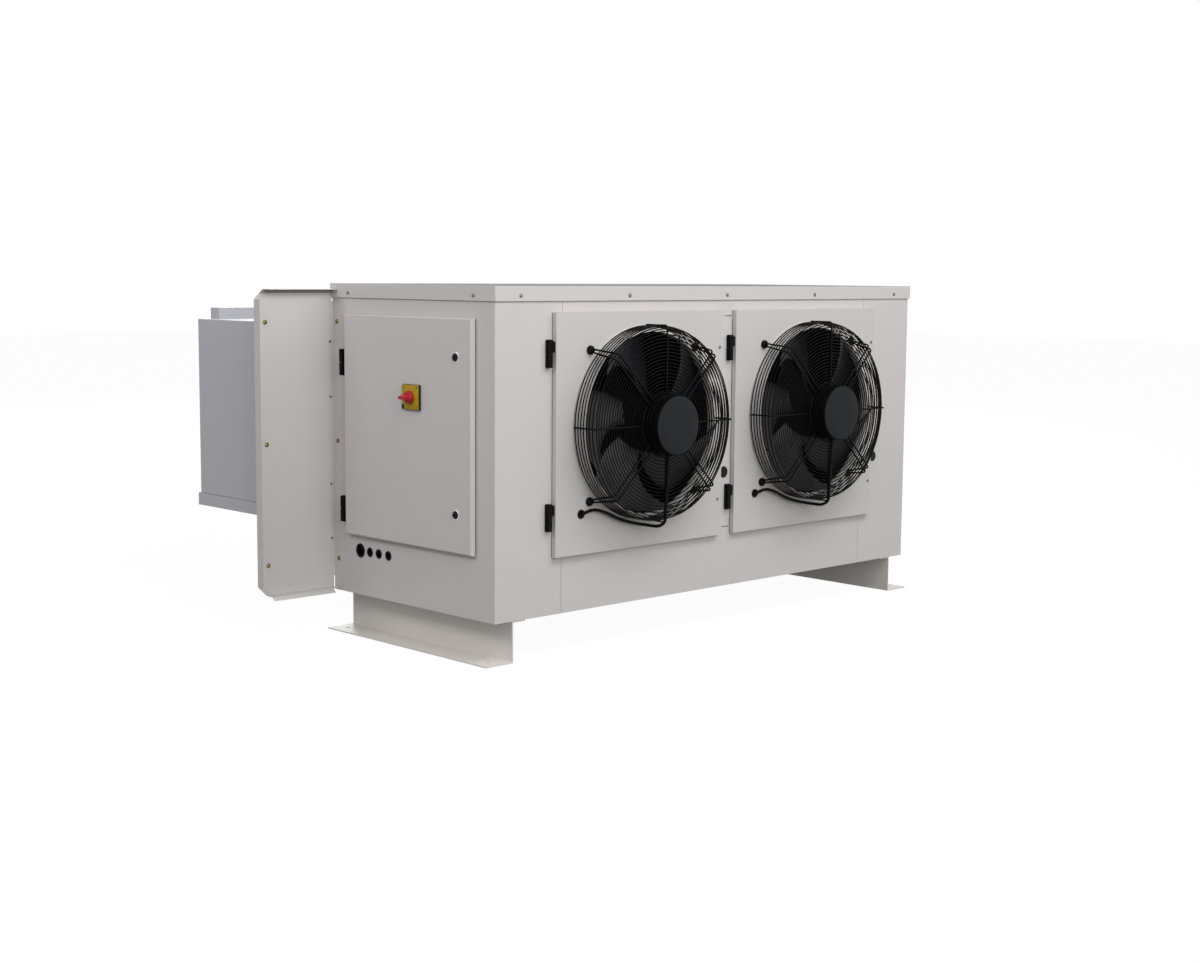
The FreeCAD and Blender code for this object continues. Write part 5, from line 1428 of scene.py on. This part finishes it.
@dataclass
class MainSwitch:
    """Main disconnect: dark base, yellow plate and red rotary knob with a horizontal grip.

    Attributes:
        base: Thickness of the dark base.
        plate: Thickness of the yellow plate.
        knob: Radius of the knob's skirt.
        skirt: Height of the skirt.
        grip: Half the length of the grip across the knob.
        grip_width: Width of the grip.
        taper: Length and width of the grip's top as shares of its foot's.
        rounding: Rounding of the grip's edges.
        reach: Height of the grip above the foot of the knob.
        gap: Distance of the knob from the plate.
        inset: How much smaller than the base the plate is on each side.
    """

    base: float = 6.0 * MM
    plate: float = 2.0 * MM
    knob: float = 16.0 * MM
    skirt: float = 10.0 * MM
    grip: float = 13.5 * MM
    grip_width: float = 15.0 * MM
    taper: tuple[float, float] = (0.55, 0.45)
    rounding: float = 1.8 * MM
    reach: float = 30.0 * MM
    gap: float = 0.4 * MM
    inset: float = 1.2 * MM

    def handle(self) -> bpy.types.Object:
        """Builds the knob about its own axis, its grip across it and tapered towards its top.

        Returns:
            The knob.
        """
        low = self.base + self.plate + self.gap
        r, h = self.knob, self.skirt
        skirt = turned("skirt", [(r * 0.1, low), (r - 1 * MM, low), (r, low + 1 * MM), (r, low + h * 0.5),
                                 (r - 1 * MM, low + h * 0.75), (r - 3 * MM, low + h * 0.95), (r * 0.5, low + h),
                                 (r * 0.1, low + h)], segments=48)
        grip = block("grip", (-self.grip, -self.grip_width / 2, low + h * 0.5),
                     (self.grip, self.grip_width / 2, low + self.reach))
        pick(grip, "FACE", lambda face: face.normal.z > 0.9)
        bpy.ops.transform.resize(value=(*self.taper, 1.0), center_override=(0, 0, low + self.reach))
        bpy.ops.object.mode_set(mode="OBJECT")
        modify(grip, "BEVEL", {"width": self.rounding, "segments": 4})
        return joined("handle", [skirt, grip])

    def dress(self) -> None:
        """Builds the base, the plate and the knob in place of their parts."""
        low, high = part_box("disconnect_plate")
        place = Station(high.x, (low.y + high.y) / 2, (low.z + high.z) / 2, Facing.LEFT)
        x, y = (high.y - low.y) / 2, (high.z - low.z) / 2
        base = block("switch_base", (-x, -y, 0), (x, y, self.base), bevel=1.2 * MM, segments=3)
        dress(base, DARK_PLASTIC, "electrical_door", ["disconnect_plate"], place)
        inset, top = self.inset, self.base + self.plate
        plate = block("switch_plate", (-x + inset, -y + inset, self.base - 0.5 * MM), (x - inset, y - inset, top),
                      bevel=1.0 * MM, segments=3)
        dress(plate, YELLOW, "electrical_door", station=place)
        # A dark raised block at the lower-left corner of the plate.
        tab = block("switch_lock_tab", (-x + 1.5 * MM, -y + 1.5 * MM, self.base),
                    (-x + 11 * MM, -y + 13 * MM, top + 1 * MM), bevel=0.8 * MM)
        dress(tab, DARK_PLASTIC, "electrical_door", station=place)
        dots = []
        for across in (-1, 1):
            for up in (-1, 1):
                dot = turned("dot", [(0.2 * MM, 0), (2.0 * MM, 0), (2.0 * MM, 0.5 * MM), (1.4 * MM, 0.8 * MM),
                                     (0.2 * MM, 0.8 * MM)], segments=20)
                dot.data.transform(Matrix.Translation((across * (x - 7 * MM), up * (y - 7 * MM), top - 0.1 * MM)))
                dots.append(dot)
        dress(joined("switch_plate_screws", dots), DARK_PLASTIC, "electrical_door", station=place)
        handle = dress(self.handle(), RED, "disconnect_knob", ["disconnect_knob"], place)
        handle.name = "switch_knob"


@dataclass
class CableEntries:
    """Rubber edging in the cable entry holes of the left side.

    Attributes:
        mounts: How the names of the holes begin in the record.
        lip: Thickness of the edging's lip.
        proud: How far it stands off the panel.
        depth: How far it reaches into the hole.
    """

    mounts: str = "cable_entry"
    lip: float = 1.6 * MM
    proud: float = 1.5 * MM
    depth: float = 2.5 * MM

    def dress(self, record: dict) -> None:
        """Puts an edging in each hole that the record names.

        Args:
            record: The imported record.
        """
        pieces = []
        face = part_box("side_panel_left")[0].x
        for mount in record["mounts"]:
            if mount["name"].startswith(self.mounts):
                _, y, z = mount["pos_m"]
                r, lip, p, foot = mount["dims"]["r_mm"] * MM, self.lip, self.proud, -self.depth
                ring = turned("edging", [(r - lip * 0.6, foot), (r - lip * 0.6, p * 0.7), (r - lip * 0.2, p),
                                         (r + lip * 0.8, p), (r + lip * 1.3, p * 0.6), (r + lip * 1.4, 0.05 * MM),
                                         (r - 0.1 * MM, 0.05 * MM), (r - 0.1 * MM, foot)], segments=40, closed=True)
                ring.data.transform(Station(face, y, z, Facing.LEFT).matrix())
                pieces.append(ring)
        dress(joined("entry_edging", pieces), RUBBER, "chassis")


@dataclass
class Plugs:
    """Black rubber plugs with a domed face.

    Attributes:
        node: The part with all the plugs.
    """

    node: str = "closing_plugs"

    def dress(self) -> None:
        """Builds a domed plug for each solid of the part."""
        pieces = []
        for low, high in solids(self.node):
            r, h = (high.x - low.x) / 2, high.y - low.y
            plug = turned("plug", [(r * 0.05, -0.3 * MM), (r * 0.94, -0.3 * MM), (r, h * 0.25), (r * 0.96, h * 0.6),
                                   (r * 0.84, h * 0.9), (r * 0.7, h), (r * 0.05, h)], segments=48)
            plug.data.transform(Station((low.x + high.x) / 2, high.y, (low.z + high.z) / 2, Facing.FRONT).matrix())
            pieces.append(plug)
        dress(joined("closing_plug_domes", pieces), RUBBER, "chassis", [self.node])


@dataclass
class Doors:
    """The three doors with their gaskets: each rim ends a little off its panel and a dark gasket fills the gap.

    Attributes:
        gap: How far the rim ends off the panel.
        rim: How much of the rim's end is drawn off the panel.
        inset: How far the gasket sits inside the rim.
        width: Width of the gasket.
        pressed: How far it is pressed into the panel.
        spare: How much thicker than the gap it is.
        fold: Outer radius of the folds.
    """

    gap: float = 2.0 * MM
    rim: float = 0.5 * MM
    inset: float = 1.6 * MM
    width: float = 10.0 * MM
    pressed: float = 0.2 * MM
    spare: float = 0.7 * MM
    fold: float = 4.0 * MM

    def gasket(self, node: str, body: str, axis: int) -> None:
        """A frame of rubber behind the rim of one door.

        Args:
            node: The door.
            body: The body that carries it.
            axis: The axis that points from the door to its panel.
        """
        low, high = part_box(node)
        other = 1 - axis
        low, high = low.copy(), high.copy()
        high[axis] = high[axis] + self.pressed
        low[axis] = high[axis] - self.gap - self.spare
        for way in (other, 2):
            low[way], high[way] = low[way] + self.inset, high[way] - self.inset
        pieces = []
        for way in (other, 2):
            for end in (0, 1):
                a, b = low.copy(), high.copy()
                if end:
                    a[way] = high[way] - self.width
                else:
                    b[way] = low[way] + self.width
                pieces.append(block("strip", a, b))
        dress(joined(node + "_gasket", pieces), RUBBER, body)

    def dress(self) -> None:
        """Builds the doors and their gaskets."""
        sides = {"fan_door_left": (Side.FRONT, DOOR), "fan_door_right": (Side.FRONT, DOOR),
                 "electrical_door": (Side.LEFT, CABINET)}
        for node, (face, finish) in sides.items():
            axis = face.value[0]
            rims = [side for side in Side if side.value[0] != axis]
            piece = Sheet(node, node, finish, [(face, rim) for rim in rims], radius=self.fold).dress()
            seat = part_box(node)[1][axis]
            for vertex in piece.data.vertices:
                if vertex.co[axis] > seat - self.rim:
                    vertex.co[axis] -= self.gap
            self.gasket(node, node, axis)


@dataclass
class Casing:
    """The sheet-metal parts of both sections.

    Attributes:
        lip: How far the flange's lower lip reaches forward and down.
        lip_sheet: Its thickness.
        lip_start: How far from the side panel it starts.
        lip_cut: How far it ends short of the flange's side.
    """

    lip: float = 9.0 * MM
    lip_sheet: float = 1.5 * MM
    lip_start: float = 22.0 * MM
    lip_cut: float = 25.0 * MM

    def parts(self) -> list[Sheet]:
        """Lists every sheet-metal part with its finish and folds.

        Returns:
            The parts.
        """
        front, back, left, right = Side.FRONT, Side.BACK, Side.LEFT, Side.RIGHT
        top, bottom = Side.TOP, Side.BOTTOM
        lid = [(top, front), (top, left), (top, right), (front, left), (front, right)]
        return [
            Sheet("front_panel", "chassis", CABINET),
            Sheet("side_panel_left", "chassis", CABINET, [(front, left)]),
            Sheet("side_panel_right", "chassis", CABINET, [(front, right)]),
            Sheet("roof_lid", "chassis", CABINET, lid),
            Sheet("base_tray", "chassis", CABINET),
            Sheet("foot_left", "chassis", FOOT_LIT, edge=0.6 * MM),
            Sheet("foot_right", "chassis", FOOT_LIT, edge=0.6 * MM),
            Sheet("wall_flange", "chassis", FLANGE_SHADED, edge=0.5 * MM),
            # The flange's edge strip is a painted shadow under its top return.
            Sheet("flange_edge_strip", "chassis", FLANGE_SHADOW_STRIP, edge=0.3 * MM),
            Sheet("evaporator_casing", "chassis", COOLER, [(top, left), (top, right)]),
            Sheet("evaporator_fan_panel", "chassis", COOLER, [(back, s) for s in (left, right, top, bottom)]),
            Sheet("drip_tray", "chassis", COOLER),
            Sheet("return_grille", "chassis", COOLER),
            Sheet("drain_spout", "chassis", DARK_PLASTIC, edge=0.3 * MM),
        ]

    def dress(self) -> None:
        """Builds every sheet-metal piece and the flange's lips; the lid's top is duller, and darker as painted shade.
        """
        pieces = {part.node: part.dress() for part in self.parts()}
        self.dress_lips()
        lid = pieces["roof_lid"]
        # The lid's upward faces get the darker grey of painted shade.
        lid.data.materials.append(LID_TOP_SHADE.material())
        for face in lid.data.polygons:
            if face.normal.z > 0.7:
                face.material_index = 1

    def dress_lips(self) -> None:
        """Bends a lip forward at the foot of the flange, on both sides of the casing."""
        low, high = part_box("wall_flange")
        start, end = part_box("side_panel_right")[1].x + self.lip_start, high.x - self.lip_cut
        lip = block("lip", (start, low.y, low.z - self.lip), (end, low.y + self.lip_sheet, low.z))
        pick(lip, "VERT", lambda vertex: vertex.co.z < low.z - self.lip / 2)
        bpy.ops.transform.translate(value=(0, -self.lip, 0))
        bpy.ops.object.mode_set(mode="OBJECT")
        twin = copied(lip, Matrix.Scale(-1, 4, (1, 0, 0)))
        edit(twin, "FACE")
        bpy.ops.mesh.normals_make_consistent(inside=False)
        bpy.ops.object.mode_set(mode="OBJECT")
        lips = joined("flange_lips", [lip, twin])
        modify(lips, "BEVEL", {"width": 0.4 * MM, "segments": 2})
        dress(lips, FLANGE_SHADED, "chassis")


@dataclass
class SlotMat:
    """Mat of dark filter fleece behind the air slots of the right side.

    Attributes:
        low: Its lowest corner behind the panel: depth and height.
        high: Its highest corner.
        thick: Its thickness.
        behind: How far behind the panel's face it sits.
    """

    low: tuple[float, float] = (-75.0 * MM, 275.0 * MM)
    high: tuple[float, float] = (215.0 * MM, 795.0 * MM)
    thick: float = 3.0 * MM
    behind: float = 1.7 * MM

    def dress(self) -> None:
        """Builds the mat behind the panel's sheet."""
        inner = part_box("side_panel_right")[1].x - self.behind
        mat = block("slot_mat", (inner - self.thick, *self.low), (inner, *self.high), bevel=0.8 * MM)
        dress(mat, FLEECE, "chassis")


@dataclass
class Internals:
    """The parts inside, which keep their own shapes and get their finishes.

    Attributes:
        finishes: The finish of each part, by the part's name.
    """

    finishes: dict[str, Finish] = field(default_factory=lambda: {
        "coil_shroud": GALVANISED, "condenser_coil": FINS, "frame_posts": GALVANISED, "partition": GALVANISED,
        "electrical_backplate": GALVANISED, "contactors": SWITCHGEAR, "terminal_block": SWITCHGEAR,
        "controller": SWITCHGEAR, "compressor": IRON, "compressor_mounts": RUBBER, "liquid_receiver": IRON,
        "filter_drier": DRIER, "refrigerant_lines": COPPER, "expansion_valve": BRASS, "evaporator_coil": FINS,
        "wall_plug": FOAM, "motor_cable_left": SHEATH, "motor_cable_right": SHEATH})

    def dress(self, nodes: dict[str, bpy.types.Object]) -> None:
        """Gives each part its finish.

        Args:
            nodes: The frame's parts by name.
        """
        for name, finish in self.finishes.items():
            nodes[name].data.materials.clear()
            nodes[name].data.materials.append(finish.material())


def main() -> None:
    """Loads the frame and dresses it."""
    logging.basicConfig(level=logging.INFO, format="%(message)s")
    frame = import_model()
    Studio().build()
    Casing().dress()
    Doors().dress()
    axes = {joint["child"]: Vector(joint["pos_m"]) for joint in frame["joints"]}
    for side in ("left", "right"):
        CondenserFan(side, axes[f"fan_rotor_{side}"]).dress()
    CoolerFans(axes).dress()
    Hinges().dress()
    Screws("casing_screws", "chassis", STEEL).dress()
    Screws("flange_screws", "chassis", ZINC, small=STEEL).dress()
    Screws("fan_door_screws_left", "fan_door_left", STEEL).dress()
    Screws("fan_door_screws_right", "fan_door_right", STEEL).dress()
    Locks().dress()
    MainSwitch().dress()
    CableEntries().dress(frame["record"])
    Plugs().dress()
    SlotMat().dress()
    Internals().dress(frame["nodes"])


if __name__ == "__main__":
    main()
